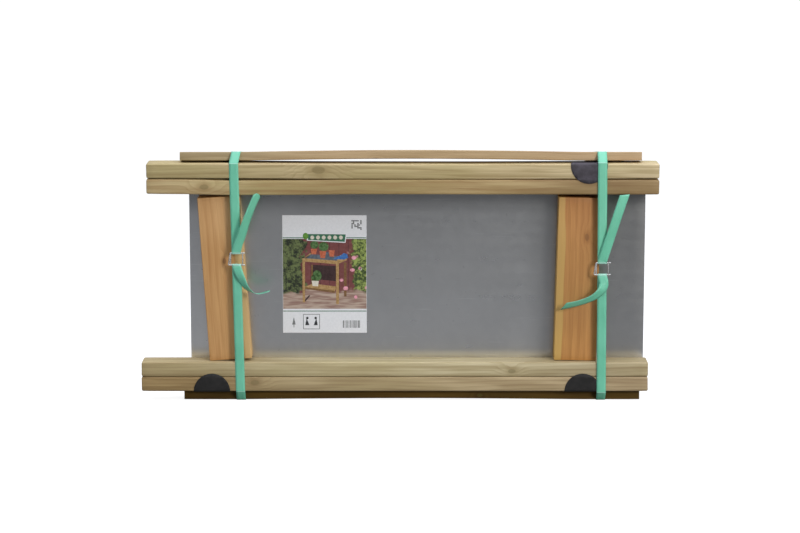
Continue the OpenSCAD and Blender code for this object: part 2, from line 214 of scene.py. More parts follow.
# %% Hang the sky and the lamp
SKY_LOW, SKY_HIGH, SKY_FALL = 0.12, 3.6, 4
SKY_COLOR = (0.95, 1.0, 1.13, 1)
KEY_PLACE, KEY_AIM = Vector((2.4, -3.2, 1.6)), Vector((0, 0, 0.2))
KEY_SIZE, KEY_POWER, KEY_COLOR = 1.1, 85, (1, 0.99, 0.97)

world = bpy.data.worlds.new("sky")
world.use_nodes = True
sky = Graph(world.node_tree)
sky_height = sky.split(sky.node("ShaderNodeTexCoord").outputs["Generated"])[2]
overhead = sky.math("POWER", sky_height, SKY_FALL, clamp=True)
strength = sky.math("MULTIPLY_ADD", overhead, SKY_HIGH - SKY_LOW, SKY_LOW)
sky.feed(world.node_tree.nodes["Background"], {"Strength": strength, "Color": SKY_COLOR})
bpy.context.scene.world = world

key_data = bpy.data.lights.new("key_right", "AREA")
key_data.shape = "RECTANGLE"
key_data.size = key_data.size_y = KEY_SIZE
key_data.energy = KEY_POWER
key_data.color = KEY_COLOR
key = bpy.data.objects.new("key_right", key_data)
key.location = KEY_PLACE
key.rotation_euler = (KEY_AIM - KEY_PLACE).to_track_quat("-Z", "Y").to_euler()
bpy.context.scene.collection.objects.link(key)
print("sky", SKY_LOW, "to", SKY_HIGH, "and a lamp of", KEY_POWER, "W")

# %% [markdown]
# ## Pine, as a solid texture
#
# A board is cut from a log, so its figure is the log's rings seen where the saw went through.
# The `pine` group keeps that idea: it measures how far a point is from a wandering pith line
# along X and turns that distance into early wood and late wood. Knots push the rings aside and
# darken. The same texture gives long streaks on the faces and arcs on the sawn ends, with no
# seam between them.

# %% The pine group, its rings and its knots
pine, put_in, put_out = new_group(
    "pine",
    {
        "Vector": ("Vector", (0, 0, 0)),
        "Seed": ("Float", 0.0),
        "Early": ("Color", (0.4, 0.3, 0.17, 1)),
        "Late": ("Color", (0.27, 0.19, 0.09, 1)),
        "Tint": ("Color", (0.33, 0.31, 0.18, 1)),
        "Ring width": ("Float", 0.004),
        "Pith Y": ("Float", 0.03),
        "Pith Z": ("Float", -0.02),
        "Knot X": ("Float", 0.0),
        "Knot Z": ("Float", 0.0),
        "Knot size": ("Float", 0.005),
        "Contrast": ("Float", 0.6),
        "Knot tone": ("Color", (0.2, 0.15, 0.07, 1)),
        "Tone left": ("Color", (1, 1, 1, 1)),
        "Tone middle": ("Color", (1, 1, 1, 1)),
        "Tone right": ("Color", (1, 1, 1, 1)),
        "Half length": ("Float", 0.445),
        "Sap and highlight side": ("Float", 1.0),
        "Sap and highlight edge": ("Float", -1.0),
        "Sap and highlight tone": ("Color", (0.5, 0.42, 0.2, 1)),
    },
    {"Color": "Color", "Height": "Float", "Roughness": "Float"},
)
PITH_WANDER = 30 * MM
KNOT_OVAL = (0.75, 0, 1.3)
KNOT_PUSH, KNOT_REACH = 2.2, 5.5
RING_WOBBLE = 0.9

place = put_in["Vector"]
seed_shift = pine.node("ShaderNodeCombineXYZ", {0: put_in["Seed"], 1: put_in["Seed"]}).outputs[0]
where = pine.vector("ADD", place, seed_shift)

# The pith wanders as it runs along the stick, and the rings are counted outwards from it.
swells = {"Vector": pine.mapped(where, (2.2, 6, 6)), "Scale": 1.0, "Detail": 2.0}
wander = pine.node("ShaderNodeTexNoise", swells).outputs["Color"]
off_line = pine.vector("SUBTRACT", wander, (0.5, 0.5, 0.5))
shift = pine.vector("MULTIPLY", off_line, (0, PITH_WANDER, PITH_WANDER))
pith = pine.node("ShaderNodeCombineXYZ", {1: put_in["Pith Y"], 2: put_in["Pith Z"]}).outputs[0]
from_pith = pine.vector("SUBTRACT", pine.vector("ADD", place, shift), pith)
radius = pine.length(pine.vector("MULTIPLY", from_pith, (0, 1, 1)))

# A knot is an oval with a ragged rim, and it pushes the rings aside.
knot_place = pine.node("ShaderNodeCombineXYZ", {0: put_in["Knot X"], 2: put_in["Knot Z"]}).outputs[0]
away = pine.length(pine.vector("MULTIPLY", pine.vector("SUBTRACT", place, knot_place), KNOT_OVAL))
ragged = pine.math("MULTIPLY_ADD", pine.noise(where, 60, 2), 0.6, 0.7)
knot_far = pine.math("MULTIPLY", pine.math("DIVIDE", away, put_in["Knot size"]), ragged)
knot_core = pine.ramp(knot_far, 1.15, 0.75)
knot_rim = pine.ramp(knot_far, 2.4, 1.0)
push = pine.math("MULTIPLY", pine.ramp(knot_far, KNOT_REACH, 0.3), put_in["Knot size"])
pushed = pine.math("MULTIPLY_ADD", push, KNOT_PUSH, radius)

# Late wood darkens towards the end of each ring and then stops short.
turns = pine.math("DIVIDE", pushed, put_in["Ring width"])
phase = pine.math("FRACT", pine.math("MULTIPLY_ADD", pine.noise(where, (5, 60, 60), 4), RING_WOBBLE, turns))
late = pine.math("MULTIPLY", pine.math("POWER", phase, 2.2), pine.ramp(phase, 1.0, 0.9))
print("rings and knots:", len(pine.tree.nodes), "nodes")

# %% Its fibres, its sap edge and its tones
STRIP_WAVE = 20 * MM
STRIP_BLUR = 1.5 * MM
TONE_DRIFT = 0.6
fibre = pine.noise(where, (14, 900, 900), 2, 0.7)
streak = pine.noise(where, (3, 170, 170), 3, 0.6)
broad = pine.noise(where, (7, 90, 90), 2, 0.5)
blotch = pine.noise(where, (3.5, 14, 14), 3)
patchy = pine.math("SUBTRACT", blotch, 0.5)

# Rings, narrow streaks and broad stripes darken the wood, and then its finest fibres do.
stripes = pine.math("MULTIPLY_ADD", pine.ramp(streak, 0.35, 0.7), 0.35, pine.math("MULTIPLY", late, 0.55))
stripes = pine.math("MULTIPLY_ADD", pine.ramp(broad, 0.38, 0.62), 0.5, stripes)
dark = pine.math("MULTIPLY", stripes, put_in["Contrast"], clamp=True)
body = pine.mix(pine.ramp(blotch, 0.4, 0.65), put_in["Early"], put_in["Tint"])
grained = pine.mix(dark, body, put_in["Late"])
fine = pine.mix(pine.ramp(fibre, 0.35, 0.75, 0.0, 0.3), grained, put_in["Late"])
rimmed = pine.mix(pine.math("MULTIPLY", knot_rim, 0.45), fine, put_in["Late"])
knotted = pine.mix(pine.math("MULTIPLY", knot_core, 0.55), rimmed, put_in["Knot tone"])

# A paler strip lies past a wavy line along one edge of the stick: sapwood on the right rails, and a painted
# highlight of the lit arris on the left rails.
along, _, upwards = pine.split(place)
to_edge = pine.math("MULTIPLY", upwards, put_in["Sap and highlight side"])
wavy_edge = pine.math("MULTIPLY_ADD", patchy, STRIP_WAVE, to_edge)
sap_and_highlight = pine.ramp(pine.math("SUBTRACT", wavy_edge, put_in["Sap and highlight edge"]), STRIP_BLUR, -STRIP_BLUR, 0.0, 0.75)
with_sap_and_highlight = pine.mix(sap_and_highlight, knotted, put_in["Sap and highlight tone"])

# The tone drifts from one end to the other, with no sharp border.
share = pine.math("DIVIDE", along, put_in["Half length"])
drifting = pine.math("MULTIPLY_ADD", patchy, TONE_DRIFT, share)
tone = pine.mix(pine.ramp(drifting, -0.8, -0.3), put_in["Tone left"], put_in["Tone middle"])
tone = pine.mix(pine.ramp(drifting, 0.3, 0.8), tone, put_in["Tone right"])
pine.feed(put_out, {
    "Color": pine.mix(1.0, with_sap_and_highlight, tone, "MULTIPLY"),
    "Height": pine.math("ADD", pine.math("MULTIPLY", late, -0.5), pine.math("MULTIPLY", fibre, 0.8)),
    "Roughness": pine.ramp(fibre, 0.2, 0.8, 0.5, 0.68),
})
print("pine group:", len(pine.tree.nodes), "nodes")

# %% [markdown]
# The timber isn't one colour. The treated legs are straw with an olive cast, the rails are
# orange-brown heartwood with a paler edge strip, sapwood on the right rails and a painted
# highlight on the left ones, and every stick is cut from another place in another log. One
# material could serve them all, but then they would share their tone. So `timber_finish` makes
# one material for one stick: a seed moves the pattern along and puts the pith elsewhere, and
# three tones multiply its colour at the left, in the middle and at the right. On the bottom
# board these tones are painted shade, and on the upper ends of the left rails painted light.


# %% One finish per stick
OLIVE_KNOT, BROWN_KNOT = rgb(118, 104, 62), rgb(122, 82, 46)
EVEN_TONE = ((1, 1, 1, 1), (1, 1, 1, 1), (1, 1, 1, 1))
NO_SAP = (1, -1000, (1, 1, 1, 1))
LEG_HALF = 445


def timber_finish(
    name, early, late, tint, seed, centre, knot, turn=None, ring=7.0, contrast=0.55,
    knot_tone=OLIVE_KNOT, tones=EVEN_TONE, sheen=0.5, sap_and_highlight=NO_SAP, half=LEG_HALF,
):
    """knot is (along, across, size) in millimetres from the stick's middle, sap is (which side,
    its edge in millimetres, tone), half is half the length, and turn stood the stick up."""
    rng = random.Random(seed)
    material, graph, where = start_material(name)
    centred = graph.vector("SUBTRACT", where, tuple(centre))
    if turn:
        centred = graph.mapped(centred, turn=tuple(turn.inverted().to_euler()))
    wood = graph.group(pine.tree, {
        "Vector": centred, "Seed": rng.uniform(-9, 9), "Early": early, "Late": late, "Tint": tint,
        "Ring width": ring * MM, "Pith Y": rng.uniform(-0.05, 0.05),
        "Pith Z": rng.choice((-1, 1)) * rng.uniform(0.03, 0.07),
        "Knot X": knot[0] * MM, "Knot Z": knot[1] * MM, "Knot size": knot[2] * MM, "Contrast": contrast,
        "Knot tone": knot_tone, "Tone left": tones[0], "Tone middle": tones[1], "Tone right": tones[2],
        "Half length": half * MM, "Sap and highlight side": sap_and_highlight[0], "Sap and highlight edge": sap_and_highlight[1] * MM, "Sap and highlight tone": sap_and_highlight[2],
    }).outputs
    graph.feed(shader_of(material), {
        "Base Color": wood["Color"], "Roughness": wood["Roughness"], "Specular IOR Level": sheen,
        "Normal": bump(graph, wood["Height"], 0.5, 0.35 * MM),
    })
    return material


print("timber finish ready")


# %% [markdown]
# ## Sticks of timber
#
# Every leg, rail, slat and board is the same shape in principle: a long box with its arrises
# planed off and its ends sawn square. A Bevel modifier could round every edge alike, but planed
# arrises are wider than sawn ones. So a cube is stretched to size, its four long edges get a
# wide bevel and the edges of the end grain a narrow one. Cuts across the stick then give it
# points along its length, so that it can bow or sag a little as dried pine does.


# %% Shape a stick
def soften(bm, edges, radius, segments):
    bmesh.ops.bevel(
        bm, geom=list(edges), offset=radius, offset_type="OFFSET", segments=segments,
        profile=0.5, affect="EDGES", material=-1,
    )


def cut_across(bm, axis, places):
    normal = Vector(axis)
    for place in places:
        everything = bm.verts[:] + bm.edges[:] + bm.faces[:]
        bmesh.ops.bisect_plane(bm, geom=everything, plane_co=normal * place, plane_no=normal)


def stick(length, depth, height, arris, end_ease, cuts):
    """Planed timber along X, centred on the origin, with `cuts` stations along it."""
    bm = bmesh.new()
    bmesh.ops.create_cube(bm, size=1)
    bmesh.ops.scale(bm, vec=(length, depth, height), verts=bm.verts[:])
    soften(bm, [e for e in bm.edges if abs(e.verts[0].co.x - e.verts[1].co.x) > length / 2], arris, 4)
    bm.normal_update()
    end_edges = {e for face in bm.faces if abs(face.normal.x) > 0.9 for e in face.edges}
    soften(bm, end_edges, end_ease, 2)
    cut_across(bm, (1, 0, 0), [length * (k / cuts - 0.5) for k in range(1, cuts)])
    return bm


def warp(bm, offset):
    for vert in bm.verts:
        vert.co += offset(vert.co)


PULL_SWELLS, SQUEEZE_SWELLS = 160, 220
SQUEEZE_SHARE = 0.6


def rough_ends(bm, length, depth, amount, seed):
    """The saw leaves the ends a little uneven: points near them are pulled in by up to `amount`."""
    for vert in bm.verts:
        inside = length / 2 - abs(vert.co.x)
        if inside < depth:
            reach = 1 - inside / depth
            pull = noise.noise(vert.co * PULL_SWELLS + Vector((seed, 0, 0))) * 0.5 + 0.5
            vert.co.x -= math.copysign(pull * amount * reach, vert.co.x)
            squeeze = noise.noise(vert.co * SQUEEZE_SWELLS + Vector((0, seed, 0))) * 0.5 + 0.5
            vert.co.z -= math.copysign(squeeze * amount * SQUEEZE_SHARE * reach, vert.co.z)


print("a leg takes 4 long bevels and 8 end bevels")

# %% [markdown]
# A finished piece is put where the frame says, its normals are turned outwards, and flat faces
# keep crisp borders while the bevels shade smoothly. It rides on the one body that this bench
# has, and it stands for the plain solid of the same name.


# %% Settle a piece in the frame
SMOOTH_ANGLE = math.radians(34)


def settle(bm, name, materials, stands_for=None, angle=SMOOTH_ANGLE, recalculate=True):
    """Make an object of a finished mesh, with its finishes and its place in the frame."""
    if recalculate:
        bmesh.ops.recalc_face_normals(bm, faces=bm.faces[:])
    mesh = bpy.data.meshes.new(name)
    bm.to_mesh(mesh)
    bm.free()
    for material in materials:
        mesh.materials.append(material)
    mesh.polygons.foreach_set("use_smooth", [True] * len(mesh.polygons))
    mesh.set_sharp_from_angle(angle=angle)
    piece = bpy.data.objects.new(name, mesh)
    bpy.context.scene.collection.objects.link(piece)
    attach(piece, "root")
    if stands_for:
        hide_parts(stands_for)
    return piece


def centre_and_size(node):
    low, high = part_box(node)
    return (low + high) / 2, high - low


print("pieces shade smoothly up to", round(math.degrees(SMOOTH_ANGLE)), "degrees")

# %% [markdown]
# ## The legs
#
# Two pairs of legs make the top and the bottom of the pack. They are square-planed, pressure
# treated pine with 3 mm arrises. The upper pair doesn't close: the first leg sags in the middle
# and the second is slightly crooked, so the gap between them is dark near the left strap and
# almost shut in the middle. The legs could be left straight and the gap painted on, but a real
# gap has its own shadow, so each leg is lifted or lowered along a smooth line of stations.

# %% Make the legs
LEG_ARRIS = 3 * MM
LEG_END_EASE = 2.4 * MM
LEG_CUTS = 64
LEG_CONTRAST = 0.72


def between(stations, x):
    """Value at x of a smooth line through (x, value) stations."""
    for (x0, v0), (x1, v1) in zip(stations, stations[1:]):
        if x <= x1:
            s = min(max((x - x0) / (x1 - x0), 0), 1)
            return v0 + (v1 - v0) * s * s * (3 - 2 * s)
    return stations[-1][1]


LEG_LIFT = {
    # lift in millimetres at places along the leg in metres
    "top_leg_upper": [(-0.445, 0.3), (-0.3, 0.2), (-0.1, -0.9), (0.1, -1.2), (0.3, -0.6), (0.445, 0)],
    "top_leg_lower": [
        (-0.445, 0.6), (-0.38, 0.2), (-0.3, -1.5), (-0.2, -1.2), (-0.08, 0), (0.2, -0.3), (0.445, -0.5),
    ],
    "bottom_leg_upper": [(-0.445, 0), (0.445, 0)],
    "bottom_leg_lower": [(-0.445, 0), (0.445, 0)],
}
LEG_WOOD = {
    # early wood, late wood, tint, seed, knots at (x, z, size) in millimetres from the leg's middle
    "top_leg_upper": (rgb(204, 186, 143), rgb(150, 130, 84), rgb(186, 172, 122), 11, (-146, 2, 9)),
    "top_leg_lower": (rgb(196, 176, 128), rgb(150, 120, 74), rgb(176, 160, 108), 23, (-344, 0, 6)),
    "bottom_leg_upper": (rgb(200, 182, 138), rgb(148, 126, 82), rgb(184, 166, 118), 37, (205, -3, 5)),
    "bottom_leg_lower": (rgb(186, 164, 116), rgb(134, 110, 68), rgb(168, 148, 98), 41, (-245, 3, 6)),
}
LEG_TONES = {
    "top_leg_upper": ((1.08, 1.05, 1.03, 1), (1.13, 1.1, 1.09, 1), (1.21, 1.2, 1.28, 1)),
    "top_leg_lower": ((1.18, 1.18, 1.21, 1), (1.04, 0.99, 0.96, 1), (0.65, 0.56, 0.48, 1)),
    "bottom_leg_upper": ((1.01, 1.01, 1.04, 1), (1.21, 1.29, 1.46, 1), (0.96, 0.98, 1.07, 1)),
    "bottom_leg_lower": ((0.91, 0.83, 0.73, 1), (1.25, 1.29, 1.54, 1), (1.1, 1.1, 1.31, 1)),
}
for leg_name, lift in LEG_LIFT.items():
    centre, size = centre_and_size(leg_name)
    early, late, tint, seed, knot = LEG_WOOD[leg_name]
    bm = stick(size.x, size.y, size.z, LEG_ARRIS, LEG_END_EASE, LEG_CUTS)
    rough_ends(bm, size.x, depth=16 * MM, amount=1.0 * MM, seed=seed)
    warp(bm, lambda co: Vector((0, 0, between(lift, co.x) * MM)))
    bmesh.ops.translate(bm, vec=centre, verts=bm.verts[:])
    finish = timber_finish(
        leg_name + "_pine", early, late, tint, seed, centre, knot=knot,
        contrast=LEG_CONTRAST, tones=LEG_TONES[leg_name],
    )
    settle(bm, leg_name + "_stick", [finish], leg_name)
    print(leg_name, [round(v / MM, 1) for v in size])

# %% [markdown]
# ## The apron boards
#
# A thinner board lies on the top legs and another under the bottom legs. The straps pull their
# ends down, so both are bowed up in the middle, and light shows between the top board and the
# legs. A Curve modifier could bend them, but lifting their points by a formula is plainer: the
# bow is a cosine between the straps, which leaves the strapped ends flat. The top board also
# leans back over the leg's rear arris, because what lies behind the legs is a little lower.

# %% Make the bowed boards
BOARD_ARRIS = 1.5 * MM
BOARD_THICKNESS = 15 * MM
BOARD_FLAT_END = 108 * MM
BOARD_CUTS = 40
BOARD_SHEEN = {"top_board": 0.5, "bottom_board": 0.12}
SAWN_EASE = 0.5 * MM


def bow(half, rise):
    def lift(co):
        return Vector((0, 0, rise * math.cos(math.pi / 2 * co.x / half) if abs(co.x) < half else 0))
    return lift


BOARD_WOOD = {
    "top_board": (rgb(205, 176, 132), rgb(160, 128, 84), rgb(190, 164, 118), 53, (-60, 0, 3)),
    # painted shade: the bottom board's dark brown colours stand for the shadow under the bottom legs
    "bottom_board": (rgb(124, 94, 48), rgb(82, 58, 26), rgb(104, 80, 40), 59, (120, 0, 4)),
}
BOARD_TONES = {
    "top_board": ((0.79, 0.87, 0.9, 1), (0.95, 0.95, 0.98, 1), (0.93, 0.9, 0.93, 1)),
    # painted shade: these tones darken the bottom board further for the shadow under the bottom legs
    "bottom_board": ((0.7, 0.7, 0.5, 1), (0.7, 0.7, 0.5, 1), (0.7, 0.7, 0.5, 1)),
}
TOP_TILT = math.radians(7.5)
TILT_EASE = 0.1 * MM
along_board = Vector((0, math.cos(TOP_TILT), -math.sin(TOP_TILT)))
off_board = Vector((0, math.sin(TOP_TILT), math.cos(TOP_TILT)))
board_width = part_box("bottom_board")[1].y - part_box("bottom_board")[0].y
pack_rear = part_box("bottom_board")[1].y
leg_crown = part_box("top_leg_upper")[1]
arris_middle = Vector((0, leg_crown.y - LEG_ARRIS, leg_crown.z - LEG_ARRIS))
rear_arris = arris_middle + off_board * (LEG_ARRIS + TILT_EASE)
top_front_y = pack_rear - board_width * along_board.y - BOARD_THICKNESS * off_board.y
top_front = Vector((0, top_front_y, rear_arris.z + (rear_arris.y - top_front_y) * math.tan(TOP_TILT)))
fore_corner = top_front + off_board * BOARD_THICKNESS
rear_corner = fore_corner + along_board * board_width

for board_name, (early, late, tint, seed, knot) in BOARD_WOOD.items():
    low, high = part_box(board_name)
    length = high.x - low.x
    if board_name == "top_board":
        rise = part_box(board_name)[1].z - fore_corner.z
        middle = top_front + (along_board * board_width + off_board * BOARD_THICKNESS) / 2
        lean = Matrix.Rotation(-TOP_TILT, 4, "X")
    else:
        rise = high.z - low.z - BOARD_THICKNESS
        middle = Vector((0, (low.y + high.y) / 2, low.z + BOARD_THICKNESS / 2))
        lean = Matrix.Identity(4)
    middle.x = (low.x + high.x) / 2
    bm = stick(length, board_width, BOARD_THICKNESS, BOARD_ARRIS, SAWN_EASE, BOARD_CUTS)
    rough_ends(bm, length, depth=8 * MM, amount=0.4 * MM, seed=seed)
    warp(bm, bow(length / 2 - BOARD_FLAT_END, rise))
    bmesh.ops.transform(bm, matrix=Matrix.Translation(middle) @ lean, verts=bm.verts[:])
    finish = timber_finish(
        board_name + "_pine", early, late, tint, seed, middle, knot=knot,
        tones=BOARD_TONES[board_name], sheen=BOARD_SHEEN[board_name],
    )
    settle(bm, board_name + "_plank", [finish], board_name)
    print(board_name, "bowed", round(rise / MM, 1), "mm")

# %% [markdown]
# ## The cross rails
#
# The short rails stand two deep at each end of the sheet, a little out of true: the left pair
# leans by 3.7 degrees and the right pair by 1.2 the other way. They are redder timber than the
# legs. The right pair has a paler strip of sapwood along one edge. The left pair has a paler
# strip along its right edge that is a painted highlight of its lit arris, and its upper end is
# painted lighter, as painted light against the shade under the top legs. They could be modelled
# upright, but then they would need a stick and a texture of their own. So a stick is laid out
# along X, stood up with a quarter turn about Y, and then leaned.

# %% Make the rails
RAIL_WIDTH, RAIL_THICKNESS, RAIL_LENGTH = 74 * MM, 17 * MM, 289 * MM
RAIL_ARRIS = 1.5 * MM
RAIL_CUTS = 24
RAIL_LEAN = {"left": 3.7, "right": -1.2}
RAIL_WOOD = {
    "cross_rail_left": (rgb(210, 166, 112), rgb(170, 118, 66), rgb(200, 154, 100), 61, (-31, 2, 4)),
    "cross_rail_left_inner": (rgb(206, 164, 116), rgb(166, 118, 72), rgb(196, 152, 102), 67, (60, 10, 5)),
    "cross_rail_right": (rgb(194, 142, 84), rgb(150, 98, 48), rgb(184, 128, 74), 71, (-75, 14, 5)),
    "cross_rail_right_inner": (rgb(206, 160, 108), rgb(160, 110, 64), rgb(196, 148, 94), 73, (30, 0, 5)),
}
RAIL_TONES = {
    # painted light: the first tone lightens the upper end of the left rails against the shade under the top
    # legs
    "left": ((1.25, 1.3, 1.36, 1), (1.04, 0.99, 0.88, 1), (1.04, 0.99, 0.88, 1)),
    "right": ((1.1, 1.05, 1.0, 1), (1.0, 0.97, 0.86, 1), (1.12, 1.1, 0.92, 1)),
}
# the left rails' pale strip along their right edge is a painted highlight of the lit arris, the right rails'
# strip is sapwood
RAIL_SAP_AND_HIGHLIGHT = {"left": (-1, -24, rgb(216, 186, 134)), "right": (1, -26, rgb(198, 164, 98))}
for rail_name, (early, late, tint, seed, knot) in RAIL_WOOD.items():
    centre, size = centre_and_size(rail_name)
    side_word = "left" if "left" in rail_name else "right"
    lean = RAIL_LEAN[side_word]
    stand = Matrix.Rotation(math.radians(-lean), 4, "Y") @ Matrix.Rotation(math.radians(90), 4, "Y")
    bm = stick(RAIL_LENGTH, RAIL_THICKNESS, RAIL_WIDTH, RAIL_ARRIS, SAWN_EASE, RAIL_CUTS)
    rough_ends(bm, RAIL_LENGTH, depth=6 * MM, amount=0.4 * MM, seed=seed)
    bmesh.ops.transform(bm, matrix=Matrix.Translation(centre) @ stand, verts=bm.verts[:])
    finish = timber_finish(
        rail_name + "_pine", early, late, tint, seed, centre, knot=knot, turn=stand, ring=11.0,
        contrast=0.5, knot_tone=BROWN_KNOT, tones=RAIL_TONES[side_word], sap_and_highlight=RAIL_SAP_AND_HIGHLIGHT[side_word],
        half=RAIL_LENGTH / 2 / MM,
    )
    settle(bm, rail_name + "_stick", [finish], rail_name)
    print(rail_name, "leans", lean, "degrees")

# %% [markdown]
# ## The timber behind the sheet
#
# Four shelf slats lie flat behind the sheet, then the back board with two battens above it, and
# last the two side boards, one under each strap. They only show from behind and from the ends,
# but they are what makes the pack thick. A side board is cut with a swept edge, wide at its foot
# and narrow at its tip. A boolean could cut the sweep, but it leaves long thin faces, so the
# board's cross cuts are squeezed towards its straight edge instead.

# %% Make the slats, the back board and the battens
SLAT_ARRIS = 1.5 * MM
SLAT_CUTS = 24
FLAT_TIMBER = [
    "shelf_slat_1", "shelf_slat_2", "shelf_slat_3", "shelf_slat_4",
    "back_board", "top_batten_1", "top_batten_2",
]
for number, flat_name in enumerate(FLAT_TIMBER):
    centre, size = centre_and_size(flat_name)
    rng = random.Random(100 + number)
    shade = rng.uniform(-12, 12)
    early = rgb(202 + shade, 178 + shade, 132 + shade)
    late = rgb(152 + shade, 124 + shade, 78 + shade)
    tint = rgb(184 + shade, 162 + shade, 112 + shade)
    knot = (rng.uniform(-260, 260), rng.uniform(-0.25, 0.25) * size.z / MM, rng.uniform(5, 9))
    bm = stick(size.x, size.y, size.z, SLAT_ARRIS, SAWN_EASE, SLAT_CUTS)
    rough_ends(bm, size.x, depth=8 * MM, amount=0.5 * MM, seed=number)
    bmesh.ops.translate(bm, vec=centre, verts=bm.verts[:])
    name = flat_name + "_pine"
    finish = timber_finish(name, early, late, tint, 100 + number, centre, knot=knot, ring=5.5)
    settle(bm, flat_name + "_stick", [finish], flat_name)
print(len(FLAT_TIMBER), "flat boards behind the sheet")

# %% Make the swept side boards
SWEEP_FROM, SWEEP_TO = 0.34, 0.8
TIP_SHARE = 0.5
SWEEP_CUTS = 44
SIDE_WOOD = (rgb(206, 184, 138), rgb(156, 130, 84), rgb(188, 166, 116))


def width_share(s):
    """Width of a side board at height share s, as a share of its foot."""
    t = min(max((s - SWEEP_FROM) / (SWEEP_TO - SWEEP_FROM), 0), 1)
    return 1 - (1 - TIP_SHARE) * (1 - math.cos(math.pi * t)) / 2


for side_name, outward in (("side_board_left", 1), ("side_board_right", -1)):
    centre, size = centre_and_size(side_name)
    straight_edge = outward * size.x / 2
    bm = stick(size.z, size.y, size.x, SLAT_ARRIS, SAWN_EASE, SWEEP_CUTS)
    stand = Matrix.Rotation(math.radians(-90), 4, "Y")
    bmesh.ops.rotate(bm, matrix=stand, verts=bm.verts[:])
    warp(bm, lambda co: Vector(((co.x + straight_edge) * (width_share(co.z / size.z + 0.5) - 1), 0, 0)))
    bmesh.ops.translate(bm, vec=centre, verts=bm.verts[:])
    finish = timber_finish(
        side_name + "_pine", *SIDE_WOOD, 200 + outward, centre, knot=(-90, 20, 8), turn=stand, ring=5.5,
    )
    settle(bm, side_name + "_plank", [finish], side_name)
    print(side_name, "foot", round(size.x / MM), "mm, tip", round(size.x * TIP_SHARE / MM), "mm")

# %% [markdown]
# ## The zinc worktop
#
# The worktop is a shallow tray of galvanised sheet. It stands on edge in the pack with its face
# to the front and its rim to the back. A cube loses its rear face, the folds are bevelled, the
# open edge is turned in as a hem, and the wall gets the thickness of the sheet. Thin sheet is
# never quite flat, so the face dishes inwards by a fraction of a millimetre. A mirror-like sheet
# would need a whole garden to reflect, so light and shade are painted into its colour: painted
# shade towards its top, a painted shadow of the right rails towards its right, and painted
# reflection brightening its left end and its foot.

# %% Finish for galvanised sheet
SCRATCH_SLANT = (0, math.radians(22), 0)
zinc, graph, where = start_material("zinc_sheet")
cloud = graph.noise(where, 4, 4, 0.6)
rolled = graph.noise(where, (2, 60, 90), 3, 0.6)
crystals = {"Vector": graph.mapped(where, (90, 90, 90)), "Scale": 1.0}
spangle = graph.node("ShaderNodeTexVoronoi", crystals).outputs["Color"]
spangle_grey = graph.node("ShaderNodeSeparateColor", {0: spangle}).outputs[0]
scratches = graph.ramp(graph.noise(where, (14, 200, 420), 2, 0.4, SCRATCH_SLANT), 0.7, 0.76)
spots = graph.ramp(graph.noise(where, 120, 1), 0.74, 0.8)
tone = graph.mix(graph.ramp(cloud, 0.35, 0.65), rgb(191, 190, 186), rgb(197, 196, 192))
tone = graph.mix(graph.ramp(spangle_grey, 0.0, 1.0, 0.0, 0.12), tone, rgb(210, 210, 206))
tone = graph.mix(graph.math("MULTIPLY", scratches, 0.25), tone, rgb(236, 236, 232))
tone = graph.mix(graph.math("MULTIPLY", spots, 0.15), tone, rgb(120, 120, 118))
print("zinc, spangled and scratched:", len(graph.tree.nodes), "nodes")

# %% Paint shade on the sheet at its top and its right, and reflection at its left and its foot
# Painted light and shade on the zinc: darker near its top as painted shade, darker towards the right rails
# as their painted shadow, brighter at its left end and its foot as painted reflection.
PAINTED_RAIL_SHADOW, PAINTED_TOP_SHADE, PAINTED_LEFT_LIGHT, PAINTED_FOOT_REFLECTION = 0.76, 0.6, 1.18, 1.5
sheet_x, _, sheet_z = graph.split(where)
sheet_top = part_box("worktop_sheet")[1].z
right_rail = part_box("cross_rail_right")[0].x
sheet_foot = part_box("bottom_leg_upper")[1].z
PAINTED_FADES = [
    # measured along, where the fade starts, where it ends, brightness past its end
    (sheet_x, right_rail - 60 * MM, right_rail, PAINTED_RAIL_SHADOW),
    (sheet_z, sheet_top - 95 * MM, sheet_top - 50 * MM, PAINTED_TOP_SHADE),
    (sheet_x, -240 * MM, -340 * MM, PAINTED_LEFT_LIGHT),
    (sheet_z, sheet_foot + 16 * MM, sheet_foot + 2 * MM, PAINTED_FOOT_REFLECTION),
]
painted_light_and_shade = 1.0
for measure, fade_start, fade_end, brightness in PAINTED_FADES:
    painted_light_and_shade = graph.math("MULTIPLY", painted_light_and_shade, graph.ramp(measure, fade_start, fade_end, 1.0, brightness))
# grey carries this painted shade, painted shadow and painted reflection into the zinc's colour.
grey = graph.node("ShaderNodeCombineColor", {0: painted_light_and_shade, 1: painted_light_and_shade, 2: painted_light_and_shade}).outputs[0]
spangle_rough = graph.math("MULTIPLY", spangle_grey, 0.03)
rough = graph.math("ADD", graph.ramp(rolled, 0.3, 0.7, 0.27, 0.31), spangle_rough)
graph.feed(shader_of(zinc), {
    "Base Color": graph.mix(1.0, tone, grey, "MULTIPLY"), "Roughness": rough, "Metallic": 1.0,
    "Normal": bump(graph, rolled, 0.03, 0.2 * MM),
})
print("zinc finish:", len(graph.tree.nodes), "nodes")

# %% Fold the worktop
SHEET_THICKNESS = 0.8 * MM
SHEET_FOLD = 1.4 * MM
SHEET_HEM = 6 * MM
SHEET_DISH = 0.5 * MM
SHEET_COLUMNS, SHEET_ROWS = 40, 20
sheet_centre, sheet_size = centre_and_size("worktop_sheet")
sheet_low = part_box("worktop_sheet")[0]


